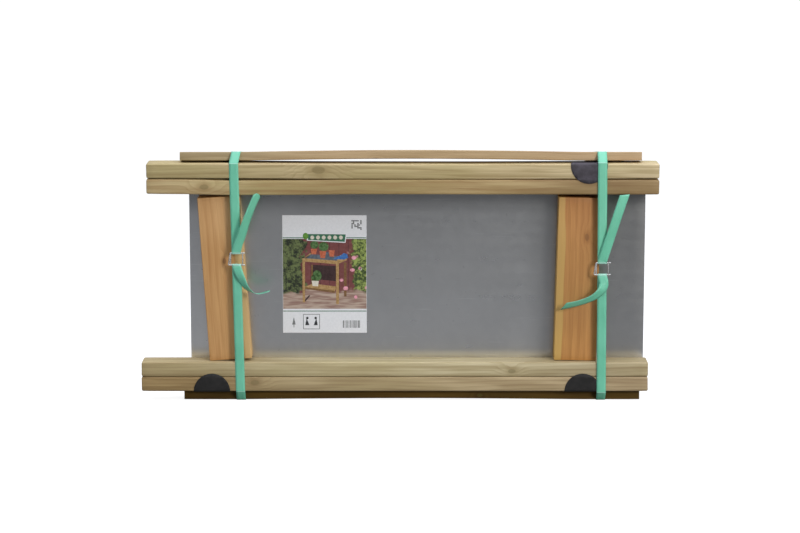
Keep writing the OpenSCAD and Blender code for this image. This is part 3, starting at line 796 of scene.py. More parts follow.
def sheet_dish(x, z):
    """How far the face dishes in at x, z: nothing at the rim, at most SHEET_DISH inside."""
    u = (x - sheet_low.x) / sheet_size.x
    v = (z - sheet_low.z) / sheet_size.z
    rim = min(1, 12 * min(max(u, 0), max(1 - u, 0))) * min(1, 6 * min(max(v, 0), max(1 - v, 0)))
    wave = 0.5 + 0.5 * math.sin(7 * u + 1.2) * math.cos(4.2 * v + 0.6 * math.sin(5 * u))
    return SHEET_DISH * max(rim, 0) * wave


bm = bmesh.new()
bmesh.ops.create_cube(bm, size=1)
bmesh.ops.scale(bm, vec=sheet_size, verts=bm.verts[:])
bmesh.ops.translate(bm, vec=sheet_centre, verts=bm.verts[:])
bm.normal_update()
bmesh.ops.delete(bm, geom=[f for f in bm.faces if f.normal.y > 0.9], context="FACES")
rim_edges = [e for e in bm.edges if e.is_boundary]
hem = bmesh.ops.extrude_edge_only(bm, edges=rim_edges)["geom"]
hem_verts = [v for v in hem if isinstance(v, bmesh.types.BMVert)]
shrink = ((sheet_size.x - 2 * SHEET_HEM) / sheet_size.x, 1, (sheet_size.z - 2 * SHEET_HEM) / sheet_size.z)
bmesh.ops.scale(bm, vec=shrink, verts=hem_verts, space=Matrix.Translation(-sheet_centre))
sharp = [e for e in bm.edges if len(e.link_faces) == 2 and e.calc_face_angle() > 1]
soften(bm, [e for e in sharp if not set(e.verts) & set(hem_verts)], SHEET_FOLD, 3)
cut_across(bm, (1, 0, 0), [sheet_low.x + sheet_size.x * k / SHEET_COLUMNS for k in range(1, SHEET_COLUMNS)])
cut_across(bm, (0, 0, 1), [sheet_low.z + sheet_size.z * k / SHEET_ROWS for k in range(1, SHEET_ROWS)])
front_side = sheet_low.y + 0.01 * MM
warp(bm, lambda co: Vector((0, sheet_dish(co.x, co.z) if co.y < front_side else 0, 0)))
bmesh.ops.recalc_face_normals(bm, faces=bm.faces[:])
middle = min(bm.faces, key=lambda f: f.calc_center_median().y)
if middle.normal.y > 0:
    bmesh.ops.reverse_faces(bm, faces=bm.faces[:])
bmesh.ops.solidify(bm, geom=bm.faces[:], thickness=SHEET_THICKNESS)
settle(bm, "worktop_tray", [zinc], "worktop_sheet")
print("worktop", [round(v / MM, 1) for v in sheet_size])

# %% [markdown]
# ## The straps
#
# A packing strap is a flat band of green polypropylene with a fine embossed lattice. Each one
# runs from its upper tail under the buckle's upper bar, up the front, over the pack, down the
# back, under the pack and up again to the lower bar, where its second tail comes out. A curve
# with a bevel could make it, but its twist is hard to steer. So the whole strap is one grid: its
# rows are laid on a route of points, and every row keeps how far along and across the strap it
# is, so that the embossing follows the band through every bend, and how sharply it is bent,
# because the strap is painted paler where it is creased over an edge: partly the plastic's
# stress whitening, partly a painted highlight on the fold. Its two edges are painted paler too,
# as a painted highlight.

# %% Finish for the strap
STRAP_WIDTH, STRAP_THICKNESS = 16 * MM, 0.7 * MM
EDGE_HIGHLIGHT_WIDTH = 0.8 * MM
EMBOSS_PITCH = 1.6 * MM
EMBOSS_TURNS = 2 * math.pi / EMBOSS_PITCH
strap_green, graph, where = start_material("strap_plastic_green")
run, side, bend = (
    graph.node("ShaderNodeAttribute", attribute_name=name).outputs["Fac"] for name in ("run", "side", "bend")
)
lattice_a = graph.math("SINE", graph.math("MULTIPLY", graph.math("ADD", run, side), EMBOSS_TURNS))
lattice_b = graph.math("SINE", graph.math("MULTIPLY", graph.math("SUBTRACT", run, side), EMBOSS_TURNS))
lattice = graph.math("MULTIPLY", lattice_a, lattice_b)
smudge = graph.noise(where, 18, 3)
from_middle = graph.math("ABSOLUTE", side)
# A narrow band along each edge of the strap is painted paler: a painted highlight of its edges.
painted_edge_highlight = graph.ramp(from_middle, STRAP_WIDTH / 2 - EDGE_HIGHLIGHT_WIDTH, STRAP_WIDTH / 2, 0.0, 0.3)
tone = graph.mix(graph.ramp(smudge, 0.35, 0.68), rgb(108, 197, 159), rgb(118, 207, 170))
tone = graph.mix(graph.ramp(lattice, -0.2, 0.8, 0.0, 0.22), tone, rgb(148, 216, 192))
tone = graph.mix(painted_edge_highlight, tone, rgb(150, 212, 190))
# Tight bends are painted paler: partly the plastic's stress whitening, partly a painted highlight on the
# folds.
tone = graph.mix(graph.ramp(bend, 0.1, 0.9, 0.0, 0.6), tone, rgb(196, 236, 220))
graph.feed(shader_of(strap_green), {
    "Base Color": tone, "Roughness": graph.ramp(smudge, 0.3, 0.7, 0.28, 0.38),
    "Normal": bump(graph, lattice, 0.5, 0.12 * MM),
})
print("strap finish: lattice pitch", round(EMBOSS_PITCH / MM, 1), "mm")

# %% Lay a band along a route
BAND_COLUMNS = 4
TIGHT_BEND = 1.8 * MM
BEND_SPREAD = 5 * MM


def turn_at(route, row):
    """How sharply the route turns at a row: 1 for a bend as tight as the strap takes."""
    if not 0 < row < len(route) - 1:
        return 0
    before, after = route[row] - route[row - 1], route[row + 1] - route[row]
    return min(1, before.angle(after, 0) / ((before.length + after.length) / 2) * TIGHT_BEND)


def bend_share(route, row):
    """The turn at a row, or at a row close beside it: the paler colour of a bend, part stress whitening and
    part painted highlight, reaches a little past it.
    """
    beside = [k for k in (row - 1, row + 1) if 0 <= k < len(route)]
    close = all((route[k] - route[row]).length < BEND_SPREAD for k in beside)
    return max(turn_at(route, k) for k in (beside if close else []) + [row])


def lay_band(bm, route, acrosses, width, width_at=None, skew_at=None):
    """Lay a grid of rows on a route. acrosses gives the way across the band at each point,
    width_at its share of the width there, and skew_at how far a point slides along it."""
    rows = len(route)
    run_layer = bm.verts.layers.float.new("run")
    side_layer = bm.verts.layers.float.new("side")
    bend_layer = bm.verts.layers.float.new("bend")
    grid = bmesh.ops.create_grid(bm, x_segments=rows - 1, y_segments=BAND_COLUMNS, size=1)["verts"]
    lengths = [0.0]
    for a, b in zip(route, route[1:]):
        lengths.append(lengths[-1] + (b - a).length)
    for vert in grid:
        row = round((vert.co.x + 1) / 2 * (rows - 1))
        side = vert.co.y * width / 2
        scale = width_at(lengths[row], lengths[-1]) if width_at else 1
        ahead = (route[min(row + 1, rows - 1)] - route[max(row - 1, 0)]).normalized()
        slide = skew_at(lengths[row], lengths[-1], side) if skew_at else 0
        vert.co = route[row] + acrosses[row] * side * scale + ahead * slide
        vert[run_layer] = lengths[row]
        vert[side_layer] = side
        vert[bend_layer] = bend_share(route, row)
    return lengths[-1]


print("a band has", BAND_COLUMNS, "columns")


# %% Work out a strap's route
STRAP_EASE = 0.05 * MM
STRAP_BEND = 1.6 * MM
WIRE = 2.5 * MM
BAR_SPAN = 21 * MM
TAIL_ROOT = 2 * MM
strap_line = STRAP_THICKNESS / 2 + STRAP_EASE
loop_radius = WIRE / 2 + STRAP_EASE + STRAP_THICKNESS / 2
print("strap loop radius", round(loop_radius / MM, 2), "mm")


def arc(centre, radius, start, end, steps):
    angles = [start + (end - start) * k / steps for k in range(steps + 1)]
    return [centre + Vector((math.cos(a), math.sin(a))) * radius for a in angles]


def round_corner(a, b, c, radius, steps=6):
    d1, d2 = (a - b).normalized(), (c - b).normalized()
    half = d1.angle(d2) / 2
    centre = b + (d1 + d2).normalized() * radius / math.sin(half)
    s = b + d1 * radius / math.tan(half) - centre
    e = b + d2 * radius / math.tan(half) - centre
    start = math.atan2(s.y, s.x)
    turn = math.atan2(s.x * e.y - s.y * e.x, s.dot(e))
    return arc(centre, radius, start, start + turn, steps)


def outline_of_pack(lift):
    """Corners (y, z) that a strap turns at, front to back, moved out to the strap's middle line."""
    leg_low, leg_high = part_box("bottom_leg_lower")[0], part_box("top_leg_upper")[1]
    board_low, board_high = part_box("bottom_board")
    corners = [Vector(c) for c in (
        (leg_low.y - lift, leg_low.z - lift), (leg_low.y - lift, leg_high.z + lift), fore_corner.yz,
        rear_corner.yz, (board_high.y, board_low.z), (board_low.y, board_low.z),
    )]
    moved = []
    for k, corner in enumerate(corners):
        d1 = (corner - corners[k - 1]).normalized()
        d2 = (corners[(k + 1) % len(corners)] - corner).normalized()
        n1, n2 = Vector((-d1.y, d1.x)), Vector((-d2.y, d2.x))
        moved.append(corner + (n1 + n2) * strap_line / (1 + n1.dot(n2)))
    return moved


def strap_levels(lift, middle_z):
    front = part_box("top_leg_upper")[0].y - lift - strap_line
    bar = front - loop_radius
    return front, bar, middle_z + BAR_SPAN / 2, middle_z - BAR_SPAN / 2


def strap_loop(lift, middle_z):
    """The strap's middle line in (y, z), from in front of the upper bar to in front of the lower one."""
    p = outline_of_pack(lift)
    front, bar, high, low = strap_levels(lift, middle_z)
    upper, lower = Vector((bar, high)), Vector((bar, low))
    top, bottom = Vector((front, high)), Vector((front, low))
    points = [upper + Vector((-loop_radius, TAIL_ROOT))]
    points += arc(upper, loop_radius, math.pi, 2 * math.pi, 14)
    corners = [top, *p[1:], p[0], bottom]
    for a, b, c in zip(corners, corners[1:], corners[2:]):
        points += round_corner(a, b, c, STRAP_BEND)
    points += arc(lower, loop_radius, 0, math.pi, 14)
    points.append(lower + Vector((-loop_radius, -TAIL_ROOT)))
    return points


# %% Curve the tails
def tail_at(stations, u):
    """Point and twist at share u of a tail, on a smooth curve through its stations."""
    last = len(stations) - 1
    i = min(int(u * last), last - 1)
    s = u * last - i
    a, b, c, d = (Vector(stations[k]) for k in (max(i - 1, 0), i, i + 1, min(i + 2, last)))
    squared, cubed = 2 * a - 5 * b + 4 * c - d, 3 * b - a - 3 * c + d
    return (2 * b + (c - a) * s + squared * s ** 2 + cubed * s ** 3) / 2


def tail_route(stations, root, steps=26):
    """Points of a tail and the ways across it, from its root outwards."""
    places = [tail_at(stations, k / steps) for k in range(steps + 1)]
    points = [root + Vector(p[:3]) * MM for p in places]
    ways = []
    for k, place in enumerate(places):
        ahead = (points[min(k + 1, steps)] - points[max(k - 1, 0)]).normalized()
        across = Vector((0, -1, 0)).cross(ahead).normalized()
        twist = math.radians(place[3])
        ways.append(across * math.cos(twist) + ahead.cross(across).normalized() * math.sin(twist))
    return points, ways


print("tails bend and twist on smooth curves")

# %% Make the straps
TAILS = {
    # stations (x, y, z, twist) in millimetres and degrees from the tail's root
    "strap_left": (
        [
            (0, 0, 0, 0), (4, -1.6, 14, 8), (11, -3.6, 31, 22),
            (20, -4.8, 56, 34), (30, -4.8, 80, 40), (41, -4, 103, 40),
        ],
        [
            (0, 0, 0, 0), (3, -1.4, -10, 10), (9, -3, -24, 30),
            (19, -3, -40, 60), (35, -2.4, -48, 84), (57, -2, -43, 90),
        ],
    ),
    "strap_right": (
        [(0, 0, 0, 0), (5, -1, 16, 0), (17, -2.5, 54, 3), (28, -2.5, 88, 3), (38, -1.5, 118, 0)],
        [
            (0, 0, 0, 0), (3, -2, -14, -4), (-2, -3.8, -26, -24),
            (-17, -4, -38, -40), (-40, -3.4, -47, -46), (-67, -3, -53, -42),
        ],
    ),
}
STRAP_PLACES = {
    # place along the pack, lift off its front, height of the buckle's middle, drift in 200 mm
    "strap_left": (-282.5 * MM, 0, 254 * MM, 4 * MM),
    "strap_right": (354 * MM, 1.7 * MM, 237 * MM, 1.3 * MM),
}
STRAP_SKEW = {"strap_left": 4 * MM, "strap_right": 0.0}
DRIFT_REACH, SKEW_DEPTH, SKEW_HEIGHT = 200 * MM, 12 * MM, 400 * MM
END_ROUND, END_TIP = 5 * MM, 0.35
SLANT_REACH, SLANT_UPPER, SLANT_LOWER = 12 * MM, -0.45, 0.8


def drift_of(name, y, z):
    """A strap is never quite upright: it drifts sideways above and below its buckle, and a
    skewed one also steps aside once it is past the front and high on the pack."""
    _, _, middle_z, drift = STRAP_PLACES[name]
    past_front = min(max((y - LEG_FACE_Y) / SKEW_DEPTH, 0), 1)
    over = past_front * min(max(z / SKEW_HEIGHT, 0), 1)
    return -drift * (z - middle_z) / DRIFT_REACH + STRAP_SKEW[name] * over


def round_cut(run, total):
    """Share of the full width at a place along a strap whose ends are cut round."""
    near = min(run, total - run)
    return 1 if near > END_ROUND else max(END_TIP, math.sqrt(1 - (1 - near / END_ROUND) ** 2))


def slant_cut(run, total, side):
    """How far a point slides along a strap whose ends are cut square, at a slant."""
    lower = max(0, 1 - (total - run) / SLANT_REACH)
    upper = max(0, 1 - run / SLANT_REACH)
    return side * (SLANT_LOWER * lower + SLANT_UPPER * upper)


END_CUTS = {"strap_left": (round_cut, None), "strap_right": (None, slant_cut)}
for strap_name, (upper_tail, lower_tail) in TAILS.items():
    x, lift, middle_z, _ = STRAP_PLACES[strap_name]
    _, bar, high, low = strap_levels(lift, middle_z)
    root_y = bar - loop_radius
    up_points, up_ways = tail_route(upper_tail, Vector((x, root_y, high + TAIL_ROOT)))
    down_points, down_ways = tail_route(lower_tail, Vector((x, root_y, low - TAIL_ROOT)))
    body = [Vector((x, p.x, p.y)) for p in strap_loop(lift, middle_z)]
    route = up_points[:0:-1] + body + down_points[1:]
    ways = [-w for w in up_ways[:0:-1]] + [Vector((1, 0, 0))] * len(body) + down_ways[1:]
    route = [p + Vector((drift_of(strap_name, p.y, p.z), 0, 0)) for p in route]
    bm = bmesh.new()
    length = lay_band(bm, route, ways, STRAP_WIDTH, *END_CUTS[strap_name])
    piece = settle(bm, strap_name + "_band", [strap_green], strap_name)
    wall = piece.modifiers.new("strap_thickness", "SOLIDIFY")
    wall.thickness = STRAP_THICKNESS
    wall.offset = 0
    print(strap_name, "is", round(length, 2), "m long")

# %% [markdown]
# ## Wire buckles
#
# Each buckle is bent from one galvanised wire: along the upper bar, down a flared side and back
# along the lower bar, with straight braces beside the strap. A curve with a round bevel could
# make it, but its open ends would have to be closed by hand. So a wire is a circle extruded from
# point to point along a route whose corners are rounded, as a bending jig rounds them.

# %% Finish for the wire
WIRE_PALE, WIRE_DULL = rgb(240, 240, 236), rgb(212, 212, 206)
galvanised, graph, where = start_material("galvanised_wire")
mottle = graph.noise(where, 500, 3)
tarnish = graph.noise(where, 90, 3)
graph.feed(shader_of(galvanised), {
    "Base Color": graph.mix(graph.ramp(tarnish, 0.35, 0.7), WIRE_PALE, WIRE_DULL),
    "Roughness": graph.ramp(mottle, 0.3, 0.7, 0.24, 0.4), "Metallic": 1.0,
    "Normal": bump(graph, mottle, 0.2, 0.1 * MM),
})
print("wire", round(WIRE / MM, 1), "mm")


# %% Bend a wire
def bend_route(points, radius, steps=6):
    """A route through points with its inner corners rounded."""
    points = [Vector(p) for p in points]
    route = [points[0]]
    for a, b, c in zip(points, points[1:], points[2:]):
        d1, d2 = (a - b).normalized(), (c - b).normalized()
        back = min(radius / math.tan(d1.angle(d2) / 2), (a - b).length / 2, (c - b).length / 2)
        start, end = b + d1 * back, b + d2 * back
        for k in range(steps + 1):
            s = k / steps
            route.append((1 - s) ** 2 * start + 2 * s * (1 - s) * b + s ** 2 * end)
    return route + [points[-1]]


def sweep_wire(bm, route, radius, sides=12, radii=None):
    """A circle extruded along a route: radii may thin or thicken it from point to point."""
    last = len(route) - 1
    radii = radii or [1] * len(route)
    ahead = [(route[min(k + 1, last)] - route[max(k - 1, 0)]).normalized() for k in range(len(route))]
    turn = ahead[0].to_track_quat("Z", "Y")
    ring = bmesh.ops.create_circle(bm, cap_ends=True, radius=radius, segments=sides)["verts"]
    here = Matrix.Translation(route[0]) @ turn.to_matrix().to_4x4() @ Matrix.Scale(radii[0], 4)
    bmesh.ops.transform(bm, matrix=here, verts=ring)
    edges = list({e for v in ring for e in v.link_edges})
    for k in range(1, len(route)):
        turn = ahead[k - 1].rotation_difference(ahead[k]) @ turn
        grown = bmesh.ops.extrude_edge_only(bm, edges=edges)["geom"]
        ring = [v for v in grown if isinstance(v, bmesh.types.BMVert)]
        edges = [e for e in grown if isinstance(e, bmesh.types.BMEdge)]
        there = Matrix.Translation(route[k]) @ turn.to_matrix().to_4x4() @ Matrix.Scale(radii[k], 4)
        bmesh.ops.transform(bm, matrix=there @ here.inverted(), verts=ring)
        here = there
    bmesh.ops.contextual_create(bm, geom=edges)


print("a wire is a circle, extruded from point to point")

# %% Make the buckles
BUCKLE_FLARE, BUCKLE_LOOSE, JIG_RADIUS = 3 * MM, 4 * MM, 2.2 * MM
BUCKLE_CLEARANCE, BRACE_INSET, BRACE_RADIUS = 1.6 * MM, 0.8 * MM, WIRE * 0.44
WIRE_END_EASE = 0.3 * MM
reach = STRAP_WIDTH / 2 + BUCKLE_CLEARANCE + WIRE / 2


def cap_edges(bm):
    """The rims of the sawn ends, which are the only faces with more than four corners."""
    paired = [e for e in bm.edges if len(e.link_faces) == 2]
    return [e for e in paired if max(len(f.verts) for f in e.link_faces) > 4]


for side_word in ("left", "right"):
    x, lift, middle_z, _ = STRAP_PLACES["strap_" + side_word]
    _, bar_y, high, low = strap_levels(lift, middle_z)
    bm = bmesh.new()
    outer = [
        (x + reach + BUCKLE_LOOSE, bar_y, high), (x - reach, bar_y, high),
        (x - reach - BUCKLE_FLARE, bar_y, low), (x + reach + BUCKLE_LOOSE, bar_y, low),
    ]
    sweep_wire(bm, bend_route(outer, JIG_RADIUS), WIRE / 2)
    for brace_x in (x - reach + BRACE_INSET, x + reach):
        sweep_wire(bm, [Vector((brace_x, bar_y, z)) for z in (low, middle_z, high)], BRACE_RADIUS)
    soften(bm, cap_edges(bm), WIRE_END_EASE, 1)
    settle(bm, "buckle_" + side_word + "_wire", [galvanised], "buckle_" + side_word)
    print("buckle", side_word, "at", round(middle_z / MM), "mm")

# %% [markdown]
# ## Rubber edge pads
#
# Round discs of ribbed rubber are folded over the leg's edge to keep the strap from biting into
# the timber. They could be pressed on by a cloth simulation, but the shape is only a bend. So a
# disc is cut into ribs, a band of cuts along the fold is bent round the arris, and the sheet
# then gets its thickness.

# %% Finish for the pads
def rubber_finish(name, dark, greyer):
    material, graph, where = start_material(name)
    dust = graph.noise(where, 60, 4, 0.65)
    speck = graph.noise(where, 900, 2)
    graph.feed(shader_of(material), {
        "Base Color": graph.mix(graph.ramp(dust, 0.35, 0.75), dark, greyer),
        "Roughness": graph.ramp(dust, 0.3, 0.7, 0.55, 0.75), "Specular IOR Level": 0.25,
        "Normal": bump(graph, speck, 0.3, 0.15 * MM),
    })
    return material


RUBBER_BLACK = rubber_finish("pad_rubber_black", rgb(34, 33, 31), rgb(48, 46, 44))
# The top-right pad gets a paler, greyer rubber than the two pads at the bottom.
RUBBER_GREYER = rubber_finish("pad_rubber_greyer", rgb(66, 62, 66), rgb(88, 83, 90))
print("two rubbers, one dusty")

# %% Fold the pads
PAD_RADIUS, PAD_THICKNESS = 32 * MM, 1.2 * MM
PAD_RIB, PAD_RIB_DEPTH = 4 * MM, 0.22 * MM
PAD_RIB_CUTS = range(-15, 16)
PAD_CROSS_CUTS = [-24 * MM, -16 * MM, -8 * MM, 14 * MM, 22 * MM]
PAD_EASE, PAD_WALL = 0.1 * MM, PAD_THICKNESS - 0.2 * MM
FOLD_RADIUS, FOLD_STEPS = 3.2 * MM, 8


def make_pad(name, up, fold, rubber):
    """fold is how far above the disc's middle it is folded: the upper part goes over the leg."""
    low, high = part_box(name)
    x = (low.x + high.x) / 2
    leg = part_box("top_leg_upper" if up else "bottom_leg_lower")
    edge_z = leg[1].z if up else leg[0].z
    bm = bmesh.new()
    bmesh.ops.create_circle(bm, cap_ends=True, radius=PAD_RADIUS - PAD_EASE, segments=96)
    cut_across(bm, (1, 0, 0), [PAD_RIB / 2 * k for k in PAD_RIB_CUTS])
    bend_length = FOLD_RADIUS * math.pi / 2
    bend_start = fold - FOLD_RADIUS
    steps = [bend_start + bend_length * k / FOLD_STEPS for k in range(FOLD_STEPS + 1)]
    cut_across(bm, (0, 1, 0), steps + PAD_CROSS_CUTS)
    for vert in bm.verts:
        across, along = vert.co.x, vert.co.y
        ridge = PAD_RIB_DEPTH * (0.5 + 0.5 * math.cos(2 * math.pi * across / PAD_RIB))
        past = along - bend_start
        if past <= 0:
            out, rise = PAD_THICKNESS / 2, along - fold
            normal = Vector((0, -1, 0))
        elif past < bend_length:
            angle = past / FOLD_RADIUS
            out = PAD_THICKNESS / 2 - (FOLD_RADIUS + PAD_THICKNESS / 2) * (1 - math.cos(angle))
            rise = -FOLD_RADIUS + (FOLD_RADIUS + PAD_THICKNESS / 2) * math.sin(angle)
            normal = Vector((0, -math.cos(angle), math.sin(angle)))
        else:
            out, rise = -FOLD_RADIUS - (past - bend_length), PAD_THICKNESS / 2
            normal = Vector((0, 0, 1))
        vert.co = Vector((across, -out, rise)) + normal * (ridge - PAD_RIB_DEPTH)
    bmesh.ops.recalc_face_normals(bm, faces=bm.faces[:])
    lowest = min(bm.faces, key=lambda f: f.calc_center_median().z)
    if lowest.normal.y > 0:
        bmesh.ops.reverse_faces(bm, faces=bm.faces[:])
    if not up:
        bmesh.ops.scale(bm, vec=(1, 1, -1), verts=bm.verts[:])
        bmesh.ops.reverse_faces(bm, faces=bm.faces[:])
    bmesh.ops.translate(bm, vec=(x, leg[0].y, edge_z), verts=bm.verts[:])
    piece = settle(bm, name + "_disc", [rubber], name, recalculate=False)
    wall = piece.modifiers.new("pad_thickness", "SOLIDIFY")
    wall.thickness = PAD_WALL
    wall.offset = 0
    print(name, "folded at", round(fold / MM, 1), "mm")


make_pad("edge_pad_bottom_left", False, 0, RUBBER_BLACK)
make_pad("edge_pad_bottom_right", False, 0, RUBBER_BLACK)
make_pad("edge_pad_top_right", True, 3 * MM, RUBBER_GREYER)

# %% [markdown]
# ## The label
#
# The card has a white band above and below a garden picture of the bench. Nothing on it can be
# read: the badge carries a row of leaves instead of a name, and the small marks are plain shapes.
# An image could carry the print, but a drawing made of shapes needs no file. The garden is
# painted by a material, and the bench in it is cut out of flat shapes, each laid a hair in front
# of the one before, as layers of ink.

# %% Inks and the painted garden
LABEL_GAP = 0.03 * MM
label_low, label_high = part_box("label")
label_size = label_high - label_low
label_front = label_low.y


INK_GRAIN, INK_ROUGHNESS, INK_ROUGHNESS_SPREAD = 260, 0.45, 0.05


def ink(name, color, spread=10):
    """A printed colour that is lighter and darker by `spread` in a fine grain."""
    material, graph, where = start_material("ink_" + name)
    grain = graph.noise(where, INK_GRAIN, 3, 0.6)
    light = rgb(*[min(255, c + spread) for c in color])
    dark = rgb(*[max(0, c - spread) for c in color])
    smooth, matt = INK_ROUGHNESS - INK_ROUGHNESS_SPREAD, INK_ROUGHNESS + INK_ROUGHNESS_SPREAD
    graph.feed(shader_of(material), {
        "Base Color": graph.mix(graph.ramp(grain, 0.3, 0.7), dark, light),
        "Roughness": graph.ramp(grain, 0.2, 0.8, smooth, matt),
    })
    return material


def picture_material():
    """A painted garden: fence behind, hedge on the left, paving below, flowers on the right."""
    material, graph, where = start_material("ink_garden")
    from_corner = graph.vector("SUBTRACT", where, tuple(label_low))
    u, _, v = graph.split(graph.vector("MULTIPLY", from_corner, (1 / label_size.x, 0, 1 / label_size.z)))
    leaves = graph.noise(where, 170, 3, 0.7)
    clumps = graph.noise(where, 50, 2)
    slabs = graph.noise(where, (30, 30, 260), 2)
    wander_u = graph.math("ADD", u, graph.ramp(clumps, 0.2, 0.8, -0.07, 0.07))
    planks = graph.math("FRACT", graph.math("MULTIPLY", u, 9.0))
    fence = graph.mix(graph.ramp(planks, 0.0, 0.12, 1.0, 0.0), rgb(118, 62, 58), rgb(64, 34, 34))
    fence = graph.mix(graph.ramp(leaves, 0.3, 0.8, 0.0, 0.4), fence, rgb(146, 98, 96))
    hedge = graph.mix(graph.ramp(leaves, 0.38, 0.62), rgb(36, 42, 26), rgb(110, 122, 74))
    paving = graph.mix(graph.ramp(slabs, 0.35, 0.65), rgb(150, 118, 104), rgb(190, 168, 150))
    blooms = graph.mix(graph.ramp(leaves, 0.4, 0.62), rgb(58, 74, 34), rgb(156, 172, 90))
    blooms = graph.mix(graph.ramp(clumps, 0.6, 0.68), blooms, rgb(232, 160, 168))
    garden = graph.mix(graph.ramp(wander_u, 0.26, 0.24, 0.0, 1.0), fence, hedge)
    garden = graph.mix(graph.ramp(wander_u, 0.82, 0.85, 0.0, 1.0), garden, blooms)
    ground_line = graph.math("ADD", v, graph.ramp(clumps, 0.2, 0.8, -0.03, 0.03))
    garden = graph.mix(graph.ramp(ground_line, 0.37, 0.34, 0.0, 1.0), garden, paving)
    graph.feed(shader_of(material), {"Base Color": garden, "Roughness": 0.42})
    return material


INKS = {
    "white": ink("white", (234, 234, 234), 3),
    "garden": picture_material(),
    "green": ink("green", (58, 112, 82), 8),
    "deep_green": ink("deep_green", (38, 84, 58), 8),
    "leaf": ink("leaf", (96, 146, 52), 14),
    "timber": ink("timber", (176, 140, 88), 16),
    "timber_dark": ink("timber_dark", (126, 92, 54), 14),
    "slate": ink("slate", (96, 104, 112), 12),
    "shade": ink("shade", (58, 36, 34), 10),
    "clay": ink("clay", (196, 104, 70), 16),
    "cream": ink("cream", (222, 214, 196), 8),
    "blue": ink("blue", (62, 112, 176), 16),
    "pink": ink("pink", (232, 158, 170), 20),
    "foliage": ink("foliage", (72, 106, 52), 26),
    "grey": ink("grey", (120, 120, 118), 10),
    "black": ink("black", (44, 44, 46), 6),
}
INK_NAMES = list(INKS)
print(len(INKS), "inks")

# %% Lay the card
CARD_THICKNESS = 0.26 * MM
CARD_COLUMNS, CARD_ROWS = 24, 34
card_middle = ((label_low.x + label_high.x) / 2, label_front, (label_low.z + label_high.z) / 2)
card = bmesh.new()
grid = bmesh.ops.create_grid(card, x_segments=CARD_COLUMNS, y_segments=CARD_ROWS, size=0.5)["verts"]
bmesh.ops.transform(card, matrix=Matrix.Rotation(math.radians(90), 4, "X"), verts=grid)
bmesh.ops.scale(card, vec=(label_size.x, 1, label_size.z), verts=grid)
bmesh.ops.translate(card, vec=card_middle, verts=grid)
warp(card, lambda co: Vector((0, sheet_dish(co.x, co.z), 0)))
bmesh.ops.recalc_face_normals(card, faces=card.faces[:])
if next(iter(card.faces)).normal.y > 0:
    bmesh.ops.reverse_faces(card, faces=card.faces[:])
bmesh.ops.solidify(card, geom=card.faces[:], thickness=CARD_THICKNESS)
settle(card, "label_card", [INKS["white"]], "label")
print("card", [round(v / MM) for v in label_size])

# %% Print on the card
PICTURE_FOOT, PICTURE_STEP, PICTURE_ROWS = 20.5, 7.44, 8
PRINT_LEFT, PRINT_RIGHT = 0.3, 99.7
prints = bmesh.new()


def label_point(u, v, layer):
    """Place on the card: u and v in per cent of its width and height, layer in coats of ink."""
    x = label_low.x + label_size.x * u / 100
    z = label_low.z + label_size.z * v / 100
    return Vector((x, label_front + sheet_dish(x, z) - LABEL_GAP * layer, z))


def print_shape(color, layer, *corners):
    """A flat printed shape through corners (u, v)."""
    verts = [prints.verts.new(label_point(u, v, layer)) for u, v in corners]
    face = bmesh.ops.contextual_create(prints, geom=verts)["faces"][0]
    face.material_index = INK_NAMES.index(color)
    face.normal_update()
    if face.normal.y > 0:
        face.normal_flip()


def print_box(color, layer, u0, v0, u1, v1):
    print_shape(color, layer, (u0, v0), (u1, v0), (u1, v1), (u0, v1))


def print_blob(color, layer, u, v, ru, rv, sides=14):
    """A round printed shape about (u, v), ru wide and rv high to each side."""
    angles = [2 * math.pi * k / sides for k in range(sides)]
    print_shape(color, layer, *[(u + ru * math.cos(a), v + rv * math.sin(a)) for a in angles])


for row in range(PICTURE_ROWS):
    foot = PICTURE_FOOT + PICTURE_STEP * row
    print_box("garden", 1, PRINT_LEFT, foot, PRINT_RIGHT, PICTURE_FOOT + PICTURE_STEP * (row + 1))
for stripe in (80.6, 18.2):
    print_box("green", 1, PRINT_LEFT, stripe, PRINT_RIGHT, stripe + 0.7)
print("picture and stripes:", len(prints.faces), "shapes")

